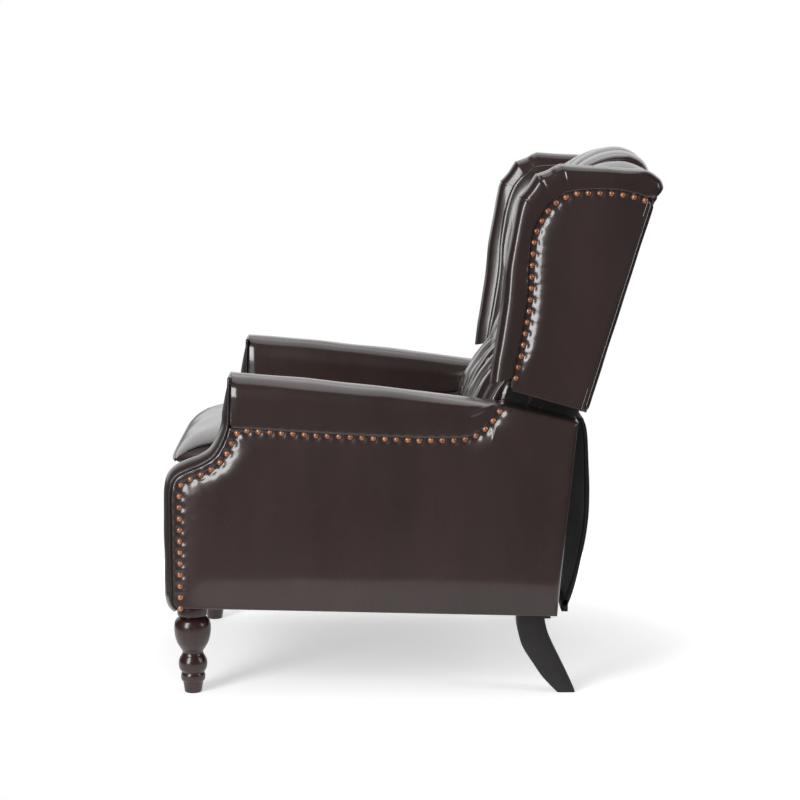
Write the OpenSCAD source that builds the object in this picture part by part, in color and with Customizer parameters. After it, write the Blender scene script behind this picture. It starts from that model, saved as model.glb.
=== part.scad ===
// Wingback recliner of the pushback kind. It stands on the floor at Z = 0, faces -Y, and is
// symmetric about X = 0. The seat rides on swing links, and the footrest and back move with it.

/* [Body] */
// Clear width between the arms
inside_w = 524; // [500:2:580]
// Width of one arm without its roll's swell
arm_w = 83; // [70:1:100]
// How far the arm roll swells past the arm's outer face
roll_swell = 10; // [4:1:14]
// Depth from the arm fronts to the rear tips of the wings
overall_d = 918; // [900:2:940]
// Height of the arm front above the floor
arm_h = 609; // [590:1:625]
// Height to the top of the crown
overall_h = 1010; // [995:1:1040]

/* [Legs] */
// Height of the turned front leg
front_leg_h = 171; // [150:1:180]
// Largest radius of the turned front leg
front_leg_r = 34.5; // [26:0.5:38]
// Height of the swept rear leg
rear_leg_h = 154; // [140:1:165]
// Width of the swept rear leg
rear_leg_w = 32; // [24:1:44]

/* [Seat] */
// Gap between each arm and the seat cushion
cushion_gap = 12; // [8:1:20]
// Height of the seat cushion's top at its front edge
seat_h = 483; // [470:1:500]
// Height of the crown on the seat cushion
seat_crown = 12; // [4:1:20]
// Height of the top of the seat rails
seat_rail_top = 400; // [392:1:410]
// Width of each wooden seat rail
rail_w = 30; // [22:1:36]

/* [Back] */
// Backward lean of the back frame in degrees
back_lean = 17; // [15:0.5:19]
// Thickness of the back frame's wood
post_t = 30; // [24:1:34]
// Thickness of the tufted inside back
inside_back_t = 156; // [120:1:162]
// Thickness of the outside back panel
outside_back_t = 12; // [8:1:14]
// Depth of the button tufts
tuft_d = 16; // [6:1:22]
// Width of one tufted diamond
tuft_w = 100; // [80:2:130]
// Height of one tufted diamond
tuft_h = 130; // [100:2:160]

/* [Mechanism] */
// Thickness of each steel plate and link
plate_t = 4; // [3:0.5:4]
// Free space between two layers of steel
layer_gap = 1; // [0.6:0.1:1.2]
// Radius of the pivot pins
pin_r = 5; // [4:0.5:6]
// Radial clearance of a pin in its bore
pin_fit = 0.05; // [0.02:0.01:0.08]
// Length of the swing links that carry the seat
swing_l = 90; // [80:1:100]
// Lean of the swing links at rest, back from upright
swing_lean = 50; // [44:1:56]
// Radius of the rounded ends of the links
link_r = 9; // [8:0.5:10]

/* [Upholstery] */
// Diameter of the piping on the seams
welt_d = 7; // [5:0.5:9]
// Diameter of a decorative nail's head
nail_d = 11; // [9:0.5:13]
// Spacing of the nails along the arm and the wing
nail_pitch = 21; // [18:0.5:26]
// Thickness of the footrest's padding
footrest_pad_t = 35; // [28:1:38]

/* [Hidden] */
$fn = 48;
skim = 0.3;
cut = 1;

// Places across the chair, from the arm's inner face
arm_x = inside_w / 2;
arm_out_x = arm_x + arm_w;
inside_panel_t = 23;
board_t = 18;
layer_pitch = plate_t + layer_gap;
function layer_x(k) = arm_x - k * layer_pitch - plate_t;
cushion_x = arm_x - cushion_gap;
rail_in_x = layer_x(6) - rail_w + plate_t / 2;
post_out_x = layer_x(3);
post_w = 40;

// Arm: front edge, top line and the roll's underside, as shares of the arm's sizes
pad_crown = 11;
arm_front_y = -overall_d / 2 + pad_crown + welt_d;
arm_setback = 112;
arm_rear_inset = 152;
arm_rear_y = overall_d / 2 - arm_rear_inset;
arm_rear_lean = 36;
arm_front_shares = [
    [0, 0.45], [0, 0.62], [0.015, 0.65], [0.05, 0.672], [0.13, 0.688], [0.30, 0.703],
    [0.50, 0.718], [0.69, 0.740], [0.81, 0.768], [0.90, 0.802], [0.96, 0.836]
];
arm_front_top_shares = [[0.98, 0.87], [0.985, 0.93], [0.995, 0.965], [1, 0.985]];
arm_top_shares = [[0, 0.997], [0.205, 0.978], [0.49, 0.946], [0.73, 0.912], [0.777, 0.904], [1, 0.85]];
roll_low_shares = [
    [0, 0.838], [0.24, 0.822], [0.54, 0.806], [0.65, 0.806], [0.685, 0.811],
    [0.715, 0.828], [0.74, 0.853], [0.765, 0.89]
];
roll_front_y = arm_front_y + arm_setback;
roll_run = arm_rear_y - roll_front_y;
arm_front_foot = [arm_front_y, front_leg_h];
function on_arm_front(s) = [arm_front_y + s[0] * arm_setback, s[1] * arm_h];
function on_arm_top(s) = [roll_front_y + s[0] * roll_run, s[1] * arm_h];
arm_front_line = concat([arm_front_foot], [for (s = arm_front_shares) on_arm_front(s)]);
arm_front_whole = concat(arm_front_line, [for (s = arm_front_top_shares) on_arm_front(s)]);
arm_top_line = [for (s = arm_top_shares) on_arm_top(s)];
roll_low_line = [for (s = roll_low_shares) on_arm_top(s)];
function arm_top_z(y) = lookup(y, arm_top_line);
function roll_low_z(y) = lookup(y, roll_low_line);
roll_section_shares = [
    [0, 0], [0.89, 0], [0.97, 0.10], [1, 0.30], [1, 0.55], [0.965, 0.78], [0.87, 0.93],
    [0.72, 0.99], [0.5, 1], [0.28, 0.985], [0.12, 0.92], [0.03, 0.78], [0, 0.55]
];
roll_station_shares = [
    0, 0.02, 0.08, 0.16, 0.24, 0.33, 0.42, 0.48, 0.54, 0.60, 0.65, 0.685, 0.70, 0.715, 0.73, 0.74, 0.765
];
roll_nose_share = 0.985;

// Legs
front_leg_inset = 32;
front_leg_y = arm_front_y + front_leg_inset;
front_leg_x = arm_x + inside_panel_t + board_t / 2;
front_leg_shares = [
    [0, 0], [0.46, 0], [0.52, 0.03], [0.565, 0.13], [0.64, 0.135], [0.66, 0.18], [0.64, 0.228],
    [0.72, 0.25], [0.78, 0.315], [0.74, 0.38], [0.60, 0.425], [0.565, 0.46], [0.66, 0.49],
    [0.86, 0.56], [0.98, 0.66], [1, 0.73], [0.95, 0.795], [0.78, 0.835], [0.62, 0.85],
    [0.81, 0.862], [0.83, 0.92], [0.81, 1], [0, 1]
];
rear_leg_inset = 110;
rear_leg_y = arm_rear_y - rear_leg_inset;
rear_leg_sweep = 112;
rear_leg_shares = [
    [0, 1], [0.01, 0.85], [0.07, 0.65], [0.14, 0.53], [0.30, 0.35], [0.43, 0.21], [0.55, 0.11],
    [0.66, 0.03], [0.70, 0], [0.98, 0], [1, 0.03], [0.86, 0.23], [0.72, 0.44], [0.60, 0.62],
    [0.53, 0.75], [0.48, 0.9], [0.47, 1]
];
rear_leg_x = arm_x + inside_panel_t + board_t / 2 - rear_leg_w / 2;
leg_land = 8;
block_s = 58;

// Base rails
base_front_rail_inset = 291;
base_front_rail_y = arm_front_y + base_front_rail_inset;
base_front_rail_t = 20;
base_front_rail_z = 165;
base_front_rail_h = 40;
base_rear_rail_inset = 152;
base_rear_rail_y = arm_rear_y - base_rear_rail_inset;
base_rear_rail_t = 35;
base_rear_rail_z = 165;
base_rear_rail_h = 60;

// Ends of the seat frame and the footrest's board
board_inset = 46;
board_back_y = arm_front_y + board_inset;
seat_front_gap = 15;
seat_front_y = board_back_y + seat_front_gap;
seat_rear_inset = 102;
seat_rear_y = arm_rear_y - seat_rear_inset;

// Swing links
swing_pin_z = 255;
front_swing_inset = 200;
rear_swing_inset = 25;
swing_reach = swing_l * sin(swing_lean);
swing_rise = swing_l * cos(swing_lean);
front_seat_pin = [seat_front_y + front_swing_inset, swing_pin_z + swing_rise];
rear_seat_pin = [seat_rear_y - rear_swing_inset, swing_pin_z + swing_rise];
front_base_pin = front_seat_pin - [swing_reach, swing_rise];
rear_base_pin = rear_seat_pin - [swing_reach, swing_rise];
rod_r = 6;
eye_extra = 2;
head_r = 8;
head_t = 2;
head_gap = 0.1;
base_plate_h = 34;
base_plate_end = 21;

// Seat frame
flange_t = 4;
flange_z = 330;
plate_low_z = 290;
seat_plate_inset = 8;
seat_plate_front_y = seat_front_y + seat_plate_inset;
hinge_reach = 35;
hinge_z = 330;
hinge_pin = [seat_rear_y + hinge_reach, hinge_z];
hinge_ear_r = 18;
deck_t = 3;
spring_wire = 4;
spring_count = 5;
spring_pitch = 2 * rail_in_x / spring_count;
spring_swing = 24;
spring_wave = 46;
spring_steps = 12;

// Footrest linkage, as places on the seat at rest
drive_pin = [seat_front_y + 80, 305];
drive_tube_r = 7;
inner_elbow = drive_pin + [110, -98];
outer_tip = drive_pin + [-72, -50];
control_offset = 50;
outer_dir = (outer_tip - inner_elbow) / norm(outer_tip - inner_elbow);
control_elbow = inner_elbow + control_offset * outer_dir;
control_pin = drive_pin + control_elbow - inner_elbow;
crank_r = 28;
crank_angle = 47;
crank_pin = inner_elbow + crank_r * [cos(crank_angle), sin(crank_angle)];
horn_r = 60;
horn_angle = 25.3;
horn_pin = outer_tip + horn_r * [cos(horn_angle), sin(horn_angle)];
open_pivot_gap = 1.5;
footrest_board_t = 16;
footrest_low_z = 185;
footrest_h = 240;
footrest_x = arm_x - 2 * layer_pitch;
bracket_flange_l = 90;
bracket_flange_w = 34;

// Seat cushion, as shares of its length and height
cushion_overhang = 4;
cushion_rear_inset = 87;
cushion_front_y = arm_front_y - cushion_overhang;
cushion_rear_y = seat_rear_y - cushion_rear_inset;
cushion_low_z = seat_rail_top + deck_t;
cushion_lip_gap = 5;
cushion_lip_z = footrest_low_z + footrest_h + cushion_lip_gap;
cushion_lip_y = board_back_y - footrest_board_t + seat_front_gap;
cushion_l = cushion_rear_y - cushion_front_y;
cushion_side_drop = 12;
cushion_side_draw = 6;
cushion_top_shares = [
    [0.985, 0.55], [0.97, 0.90], [0.93, 1], [0.80, 1], [0.65, 1], [0.50, 1], [0.35, 1], [0.22, 1],
    [0.12, 0.99], [0.07, 0.95], [0.032, 0.82], [0.008, 0.62], [0, 0.45]
];

// Back frame: places are [back from the post's front face, up from the post's foot]
post_foot_reach = 20;
post_foot_z = 352;
post_foot = [seat_rear_y + post_foot_reach, post_foot_z];
function leaned(p) = post_foot + [
    p[0] * cos(back_lean) + p[1] * sin(back_lean),
    p[1] * cos(back_lean) - p[0] * sin(back_lean)
];
crown_depth = 140;
crown_peak_share = 0.12;
crown_gap = 1;
crown_rise = 105;
back_peak = (overall_h - post_foot[1] - crown_peak_share * crown_depth * sin(back_lean)) / cos(back_lean);
inside_top = back_peak - crown_rise - crown_gap;
post_extra = 33;
post_l = inside_top + post_extra;
top_rail_h = 40;
bottom_rail_z = 136;
bottom_rail_h = 34;
bracket_l = 150;
bracket_r = 15;
strap_t = 2;
strap_w = 55;
strap_shares = [0.33, 0.503, 0.676, 0.849];
flap_pin_back = 10;
flap_pin_up = 180;
flap_pin = leaned([post_t + flap_pin_back, flap_pin_up]);
lug_x = 150;
lug_t = 6;
lug_r = 9;
lug_gap = 2;
lug_notch = 5;
flap_rod_r = 5;
flap_t = 10;
flap_h = 360;
flap_bow = 15;
flap_shares = [
    [0.1, 0.005], [0.55, 0.05], [0.85, 0.13], [0.97, 0.25], [1, 0.40], [0.9, 0.56],
    [0.05, 0.775], [-0.9, 0.91], [-1.6, 0.997]
];
flap_x = cushion_x;
hem_h = 12;

// Inside back: places along its side outline in the back frame
back_skin_gap = strap_t;
inside_front_low = 30;
inside_depth_shares = [
    [0, 0.69], [0.05, 0.80], [0.10, 0.93], [0.16, 1], [0.74, 1], [0.85, 0.97], [0.92, 0.92],
    [0.97, 0.83], [1, 0.72]
];
inside_back_low = 62;
inside_edge_draw = 28;
channel_top_share = 0.36;
button_top_share = 0.86;
inside_steps = 40;
inside_row_step = tuft_h / 6;
button_clearance = 0.15;
button_r = 11;
button_t = 5;

// Outside back and crown
outside_low = 204;
outside_extra = 29;
outside_top = inside_top + outside_extra;
crown_drop = 26;
crown_steps = 20;

// Wings: front edge with roof, and nail line, as shares of the wing's depth and height
wing_step_in = 3;
wing_x = arm_x + wing_step_in;
wing_w = 70;
wing_d = 314;
wing_front_y = overall_d / 2 - wing_d;
wing_arm_gap = 20;
wing_drop = 23;
wing_low_z = arm_top_z(arm_rear_y) + wing_arm_gap;
wing_h = overall_h - wing_drop - wing_low_z;
wing_edge_shares = [
    [0, 0.109], [0.016, 0.205], [0.032, 0.272], [0.051, 0.361], [0.067, 0.439], [0.076, 0.506],
    [0.086, 0.584], [0.108, 0.673], [0.124, 0.735], [0.143, 0.813], [0.162, 0.871], [0.21, 0.918],
    [0.268, 0.955], [0.334, 0.982], [0.408, 1], [0.573, 0.998], [0.748, 0.987], [0.90, 0.966],
    [1, 0.913]
];
wing_nail_shares = [
    [0.131, 0.136], [0.143, 0.176], [0.159, 0.218], [0.182, 0.305], [0.204, 0.403], [0.217, 0.497],
    [0.22, 0.586], [0.229, 0.668], [0.236, 0.715], [0.264, 0.764], [0.293, 0.80], [0.331, 0.84],
    [0.385, 0.869], [0.443, 0.889], [0.503, 0.90], [0.573, 0.90], [0.713, 0.898], [0.82, 0.886],
    [0.898, 0.869]
];
wing_foot_share = [0.131, 0.078];
function on_wing(s) = [wing_front_y + s[0] * wing_d, wing_low_z + s[1] * wing_h];
wing_edge_line = [for (s = wing_edge_shares) on_wing(s)];
wing_nail_line = [for (s = wing_nail_shares) on_wing(s)];
wing_section_shares = [
    [0, 0], [0.5, 0.02], [0.8, 0.08], [0.96, 0.22], [1, 0.42], [1, 0.62], [0.94, 0.83],
    [0.78, 0.95], [0.5, 1], [0.2, 0.97], [0, 0.89]
];
wing_panel_t = 24;
wing_inside_t = 20;
wing_board_x = wing_x + wing_inside_t;
wing_rear_extra = 13;
wing_rear_top = inside_top + wing_rear_extra;
wing_block_shares = [0.572, 0.867];
wing_block_h = 50;

// Colours of the photographed materials
leather = [0.17, 0.12, 0.11];
bronze = [0.66, 0.40, 0.24];
espresso = [0.20, 0.09, 0.06];
black_wood = [0.08, 0.07, 0.07];
raw_wood = [0.72, 0.56, 0.38];
steel = [0.25, 0.25, 0.27];
black_cloth = [0.06, 0.06, 0.07];

// Shapes shared by the parts
module on_side(side) {
    if (side > 0) children();
    else mirror([1, 0, 0]) children();
}

module both_sides() {
    on_side(1) children();
    on_side(-1) children();
}

// Children are drawn in the (Y, Z) plane and become a plate from x, t thick
module side_plate(x, t) {
    translate([x, 0, 0]) rotate([90, 0, 90]) linear_extrude(height = t) children();
}

module pin(p, x0, x1, r) {
    translate([x0, p[0], p[1]]) rotate([0, 90, 0]) cylinder(h = x1 - x0, r = r);
}

module bar_outline(a, b, r) {
    across = r * [a[1] - b[1], b[0] - a[0]] / norm(b - a);
    translate(a) circle(r);
    translate(b) circle(r);
    polygon([a + across, b + across, b - across, a - across]);
}

module bore(p, k, r) {
    pin(p, layer_x(k) - cut, layer_x(k) + plate_t + cut, r);
}

// A pin's head just inboard of the link in layer k
module head_inside(p, k) {
    pin(p, layer_x(k) - head_gap - head_t, layer_x(k) - head_gap, head_r);
}

// Children are drawn in the back frame, with its origin at the foot of a post's front face
module in_back_frame() {
    translate([0, post_foot[0], post_foot[1]]) rotate([-back_lean, 0, 0]) children();
}

// A closed skin over rings of points that turn left-handed along the way from first to last
module loft(rings) {
    n = len(rings[0]);
    last = len(rings) - 1;
    middles = [for (i = [0, last]) mean(rings[i])];
    points = concat([for (r = rings) each r], middles);
    walls = [for (i = [0 : last - 1], j = [0 : n - 1], h = [0, 1])
        let (a = i * n + j, b = i * n + (j + 1) % n, c = a + n, d = b + n)
        h == 0 ? [a, d, b] : [a, c, d]];
    start_cap = [for (j = [0 : n - 1]) [(last + 1) * n, j, (j + 1) % n]];
    end_cap = [for (j = [0 : n - 1]) [(last + 1) * n + 1, last * n + (j + 1) % n, last * n + j]];
    polyhedron(points = points, faces = concat(walls, start_cap, end_cap), convexity = 6);
}

function mean(points) = [for (k = [0, 1, 2]) total([for (p = points) p[k]]) / len(points)];
function total(v, i = 0) = i == len(v) ? 0 : v[i] + total(v, i + 1);
function reversed(v) = [for (i = [len(v) - 1 : -1 : 0]) v[i]];

// Unit normal to the right of the way along a line of (y, z) points
function way(line, i) = let (
    a = line[max(i - 1, 0)],
    b = line[min(i + 1, len(line) - 1)]
) (b - a) / norm(b - a);
function right_of(line, i) = let (w = way(line, i)) [w[1], -w[0]];

// Lengths along a line of points, and the place and way at a length
function run_to(line, i) = i == 0 ? 0 : run_to(line, i - 1) + norm(line[i] - line[i - 1]);
function place_at(line, run) = let (
    runs = [for (i = [0 : len(line) - 1]) run_to(line, i)],
    ys = [for (i = [0 : len(line) - 1]) [runs[i], line[i][0]]],
    zs = [for (i = [0 : len(line) - 1]) [runs[i], line[i][1]]]
) [lookup(run, ys), lookup(run, zs)];

module nail(x, p) {
    translate([x, p[0], p[1]]) rotate([0, 90, 0]) intersection() {
        cylinder(h = nail_d, r = nail_d / 2);
        translate([0, 0, -nail_d / 4]) sphere(r = nail_d * sqrt(5) / 4);
    }
}

// A row of nails along a line of points, at an even pitch near nail_pitch
module nail_row(x, line) {
    whole = run_to(line, len(line) - 1);
    count = round(whole / nail_pitch);
    for (i = [0 : count]) nail(x, place_at(line, i * whole / count));
}

// Arms
arm_outline = concat(
    arm_front_line,
    roll_low_line,
    [for (p = arm_top_line) if (p[0] > roll_low_line[len(roll_low_line) - 1][0] + cut) p],
    [
        [arm_rear_y - arm_rear_lean, rear_leg_h],
        [rear_leg_y - leg_land, rear_leg_h],
        [front_leg_y + front_leg_r + leg_land, front_leg_h]
    ]
);

module arm_board(side) color(raw_wood) on_side(side)
    side_plate(arm_x + inside_panel_t, board_t) polygon(arm_outline);

module arm_inside_panel(side) color(leather) on_side(side)
    side_plate(arm_x, inside_panel_t) polygon(arm_outline);

module arm_outside_panel(side) color(leather) on_side(side)
    side_plate(arm_x + inside_panel_t + board_t, arm_w - inside_panel_t - board_t)
        polygon(arm_outline);

module arm_roll(side) {
    w = arm_w + roll_swell;
    function ring(y, grow) = let (low = roll_low_z(y), high = arm_top_z(y))
        [for (s = roll_section_shares) [
            arm_x + w * s[0],
            y,
            low + max(high - low, roll_swell) * s[1] * grow
        ]];
    stations = [for (s = roll_station_shares) roll_front_y + s * roll_run];
    rings = [for (i = [0 : len(stations) - 1]) ring(stations[i], i == 0 ? roll_nose_share : 1)];
    color(leather) on_side(side) loft([for (r = rings) reversed(r)]);
}

module arm_front_pad(side) {
    x0 = arm_x + welt_d;
    w = arm_w - 2 * welt_d;
    steps = 8;
    line = reversed(arm_front_whole);
    function ring(i) = let (
        n = right_of(line, i),
        fade = i == 0 || i == len(line) - 1 ? 0.45 : 1,
        across = [for (k = [0 : steps]) let (s = k / steps)
            [x0 + w * s, (welt_d / 2) + (welt_d / 2 + pad_crown) * fade * sin(180 * s)]],
        section = concat([[x0, 0]], across, [[x0 + w, 0]])
    ) [for (q = section) [q[0], line[i][0] + n[0] * q[1], line[i][1] + n[1] * q[1]]];
    color(leather) on_side(side) loft([for (i = [0 : len(line) - 1]) reversed(ring(i))]);
}

module arm_welts(side) {
    line = reversed(arm_front_whole);
    sides = 8;
    function ring(x, i) = let (n = right_of(line, i), r = welt_d / 2)
        [for (k = [0 : sides - 1]) let (a = 360 * k / sides)
            [x + r * sin(a), line[i][0] + n[0] * r * (1 + cos(a)), line[i][1] + n[1] * r * (1 + cos(a))]];
    color(leather) on_side(side)
        for (x = [arm_x + welt_d / 2, arm_out_x - welt_d / 2])
            loft([for (i = [0 : len(line) - 1]) ring(x, i)]);
}

nail_inset = 14;
module arm_nails(side) {
    along = [for (i = [0 : len(roll_low_line) - 1])
        roll_low_line[i] + (nail_d / 2 + skim) * right_of(roll_low_line, i)];
    down = [for (i = [len(arm_front_line) - 2 : -1 : 0])
        arm_front_line[i] - nail_inset * right_of(reversed(arm_front_line), len(arm_front_line) - 1 - i)];
    start = along[0] + [nail_inset, 0];
    color(bronze) on_side(side)
        nail_row(arm_out_x, concat(reversed([for (p = along) if (p[0] > start[0]) p]), [start], down));
}

// Legs and base
module front_leg(side) color(espresso) on_side(side)
    translate([front_leg_x, front_leg_y, 0])
        rotate_extrude() polygon([for (s = front_leg_shares) [s[0] * front_leg_r, s[1] * front_leg_h]]);

module rear_leg(side) color(black_wood) on_side(side)
    side_plate(rear_leg_x, rear_leg_w)
        polygon([for (s = rear_leg_shares) [rear_leg_y + s[0] * rear_leg_sweep, s[1] * rear_leg_h]]);

module base_front_rail() color(raw_wood)
    translate([-arm_x, base_front_rail_y, base_front_rail_z])
        cube([inside_w, base_front_rail_t, base_front_rail_h]);

module base_rear_rail() color(raw_wood)
    translate([-arm_x, base_rear_rail_y, base_rear_rail_z])
        cube([inside_w, base_rear_rail_t, base_rear_rail_h]);

// Triangular glue blocks in the four corners of the base
module corner_blocks() color(raw_wood) both_sides() {
    translate([arm_x, base_front_rail_y + base_front_rail_t, base_front_rail_z]) corner_block(1);
    translate([arm_x, base_rear_rail_y, base_rear_rail_z]) corner_block(-1);
}

module corner_block(way) linear_extrude(height = base_front_rail_h)
    polygon([[0, 0], [-block_s, 0], [0, way * block_s]]);

module base_plates() color(steel) both_sides() {
    side_plate(layer_x(0), plate_t) translate([front_base_pin[0] - base_plate_end, swing_pin_z - base_plate_h / 2])
        square([rear_base_pin[0] - front_base_pin[0] + 2 * base_plate_end, base_plate_h]);
    for (p = [front_base_pin, rear_base_pin]) {
        pin(p, layer_x(1) - head_gap, layer_x(0), pin_r);
        head_inside(p, 1);
    }
}

// Swing links with the rod that joins the pair under the seat
module swing_links(base_pin, seat_pin) color(steel) {
    both_sides() difference() {
        side_plate(layer_x(1), plate_t) bar_outline(base_pin, seat_pin, link_r + eye_extra);
        bore(base_pin, 1, pin_r + pin_fit);
        bore(seat_pin, 1, rod_r + pin_fit);
    }
    pin(seat_pin, -layer_x(1) - plate_t, layer_x(1) + plate_t, rod_r);
}

module front_swing_links() swing_links(front_base_pin, front_seat_pin);

module rear_swing_links() swing_links(rear_base_pin, rear_seat_pin);

// Seat
module seat_plate(side) color(steel) on_side(side) {
    difference() {
        union() {
            side_plate(layer_x(2), plate_t) {
                polygon([
                    [seat_plate_front_y, plate_low_z], [seat_rear_y, plate_low_z],
                    [hinge_pin[0] + hinge_ear_r, hinge_pin[1]], [seat_rear_y, flange_z],
                    [seat_plate_front_y, flange_z]
                ]);
                translate(hinge_pin) circle(hinge_ear_r);
            }
            translate([rail_in_x, seat_plate_front_y, flange_z])
                cube([layer_x(2) + plate_t - rail_in_x, seat_rear_y - seat_plate_front_y, flange_t]);
        }
        bore(front_seat_pin, 2, rod_r + pin_fit);
        bore(rear_seat_pin, 2, rod_r + pin_fit);
        bore(drive_pin, 2, drive_tube_r + pin_fit);
    }
    for (p = [control_pin, hinge_pin]) {
        pin(p, layer_x(3) - head_gap, layer_x(2), pin_r);
        head_inside(p, 3);
    }
}

rail_z = flange_z + flange_t;
module seat_side_rails() color(raw_wood) both_sides()
    translate([rail_in_x, seat_front_y, rail_z])
        cube([rail_w, seat_rear_y - seat_front_y, seat_rail_top - rail_z]);

module seat_cross_rail(y) color(raw_wood)
    translate([-rail_in_x, y, rail_z])
        cube([2 * rail_in_x, rail_w, seat_rail_top - spring_wire - rail_z]);

module seat_front_rail() seat_cross_rail(seat_front_y);

module seat_rear_rail() seat_cross_rail(seat_rear_y - rail_w);

// Flat zigzag springs from the front rail to the rear rail
module seat_springs() {
    length = seat_rear_y - seat_front_y - rail_w / 2;
    waves = round(length / spring_wave);
    steps = waves * spring_steps;
    y0 = seat_front_y + rail_w / 4;
    function centre(i) = [spring_swing * sin(360 * waves * i / steps), y0 + length * i / steps];
    function edge(i, sign) = let (
        w = centre(i + 1) - centre(i - 1),
        n = [w[1], -w[0]] / norm(w)
    ) centre(i) + sign * n * spring_wire / 2;
    outline = concat([for (i = [0 : steps]) edge(i, 1)], [for (i = [steps : -1 : 0]) edge(i, -1)]);
    color(steel) for (k = [0 : spring_count - 1])
        translate([(k - (spring_count - 1) / 2) * spring_pitch, 0, seat_rail_top - spring_wire])
            linear_extrude(height = spring_wire) polygon(outline);
}

module seat_deck() color(black_cloth)
    translate([-rail_in_x - rail_w, seat_front_y, seat_rail_top])
        cube([2 * (rail_in_x + rail_w), seat_rear_y - seat_front_y, deck_t]);

// Crowned cushion whose sides draw in and whose nose hangs over the footrest
module seat_cushion() {
    stations = 18;
    lift = seat_h - cushion_low_z;
    low = [
        [cushion_front_y + cushion_side_draw, cushion_lip_z],
        [cushion_lip_y, cushion_lip_z],
        [cushion_lip_y + footrest_board_t, cushion_low_z],
        [(cushion_lip_y + cushion_rear_y) / 2, cushion_low_z],
        [cushion_rear_y, cushion_low_z]
    ];
    function ring(i) = let (
        s = 2 * i / stations - 1,
        x = cushion_x * sin(90 * s),
        near_side = pow(abs(sin(90 * s)), 6),
        rise = lift - cushion_side_drop * near_side,
        crown = seat_crown * (1 - pow(abs(s), 3)),
        draw = cushion_side_draw * near_side,
        top = [for (t = cushion_top_shares) [
            cushion_front_y + draw + t[0] * (cushion_l - draw),
            cushion_low_z + (rise + crown * sin(180 * t[0])) * t[1]
        ]]
    ) [for (p = concat(low, top)) [x, p[0], p[0] < cushion_lip_y ? max(p[1], cushion_lip_z) : p[1]]];
    color(leather) loft([for (i = [0 : stations]) ring(i)]);
}

// Back frame
module back_posts() color(raw_wood) both_sides() in_back_frame()
    translate([post_out_x - post_w, 0, 0]) cube([post_w, post_t, post_l]);

module back_cross_rail(z, h) color(raw_wood) in_back_frame()
    translate([-post_out_x + post_w, 0, z]) cube([2 * (post_out_x - post_w), post_t, h]);

module back_top_rail() back_cross_rail(post_l - top_rail_h, top_rail_h);

module back_bottom_rail() back_cross_rail(bottom_rail_z, bottom_rail_h);

module back_straps() color(black_cloth) in_back_frame()
    for (s = strap_shares) translate([-post_out_x, -strap_t, s * inside_top]) cube([2 * post_out_x, strap_t, strap_w]);

function inside_depth(b) = back_skin_gap + inside_back_t
    * lookup((b - inside_front_low) / (inside_top - inside_front_low), inside_depth_shares);
function inside_swell(b) = sin(180 * min(1, max(0, b / inside_top)));
function inside_hold(x) = 1 - pow(abs(x / cushion_x), 6);
function inside_face(x, b) = inside_edge_draw * (1 - inside_hold(x)) - inside_depth(b)
    + tuft_d * (1 - tufting(x, b)) * inside_hold(x) * inside_swell(b);

// Depth of the tufting at a place on the inside back, from 0 at a fold to 1 on a crest
function tufting(x, b) = let (
    edge = channel_top_share * inside_top,
    u = x / tuft_w,
    v = (b - edge) / tuft_h
) b < edge
    ? pow(abs(cos(180 * u)), 0.6)
    : pow(abs(cos(180 * (u + v)) * cos(180 * (u - v))), 0.35);

module inside_back() {
    edge = channel_top_share * inside_top;
    below = floor((edge - inside_front_low) / inside_row_step - skim);
    above = floor((inside_top - edge) / inside_row_step - skim);
    heights = concat([inside_front_low], [for (j = [-below : above]) edge + j * inside_row_step], [inside_top]);
    rear = [[-back_skin_gap, inside_top], [-back_skin_gap, (inside_top + inside_back_low) / 2],
        [-back_skin_gap, inside_back_low]];
    function ring(i) = let (x = cushion_x * (2 * i / inside_steps - 1)) concat(
        [for (b = heights) [x, inside_face(x, b), b]],
        [for (p = rear) [x, p[0], p[1]]]
    );
    color(leather) in_back_frame() loft([for (i = [0 : inside_steps]) reversed(ring(i))]);
}

// How far a button stands out of its tuft, so that it rests on the folds around it
function button_lift(x, b) = let (
    step = 2 * cushion_x / inside_steps,
    here = inside_face(x, b),
    side_slope = max([for (w = [-1, 1]) here - inside_face(x + w * step, b)]) / step,
    up_slope = max([for (w = [-1, 1]) here - inside_face(x, b + w * inside_row_step)]) / inside_row_step
) button_r * norm([side_slope, up_slope]) + button_clearance;

module back_button(x, b) {
    lift = button_lift(x, b);
    translate([x, inside_face(x, b) - lift, b]) rotate([90, 0, 0]) cylinder(h = button_t, r = button_r);
}

module back_buttons() {
    edge = channel_top_share * inside_top;
    rows = floor((button_top_share * inside_top - edge) / (tuft_h / 2));
    half = floor((2 * cushion_x - tuft_w) / tuft_w);
    color(leather) in_back_frame()
        for (row = [0 : rows], i = [-half : half])
            if ((i + row) % 2 != 0)
                back_button(i * tuft_w / 2, edge + row * tuft_h / 2);
}

module outside_back() color(leather) in_back_frame()
    translate([-wing_x - wing_w + welt_d / 2, post_t, outside_low])
        cube([2 * (wing_x + wing_w) - welt_d, outside_back_t, outside_top - outside_low]);

// Arched top of the back, in the back frame
crown_shares = [
    [-0.70, 0], [-0.01, 0], [-0.01, 0.42], [0.24, 0.42], [0.24, 0.34], [0.35, 0.34], [0.365, 0.50],
    [0.325, 0.70], [0.24, 0.88], [0.10, 0.985], [-0.12, 1.0], [-0.36, 0.86], [-0.58, 0.60], [-0.70, 0.30]
];
crown_arch_share = 0.45;
module crown() {
    base = inside_top + crown_gap;
    rise = crown_rise;
    function ring(i) = let (
        s = 2 * i / crown_steps - 1,
        drop = crown_drop * s * s
    ) [for (q = crown_shares) [
        (wing_x - skim) * s,
        q[0] * crown_depth,
        base + q[1] * (rise - (q[1] > crown_arch_share ? drop : 0))
    ]];
    color(leather) in_back_frame() loft([for (i = [0 : crown_steps]) ring(i)]);
}

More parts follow.
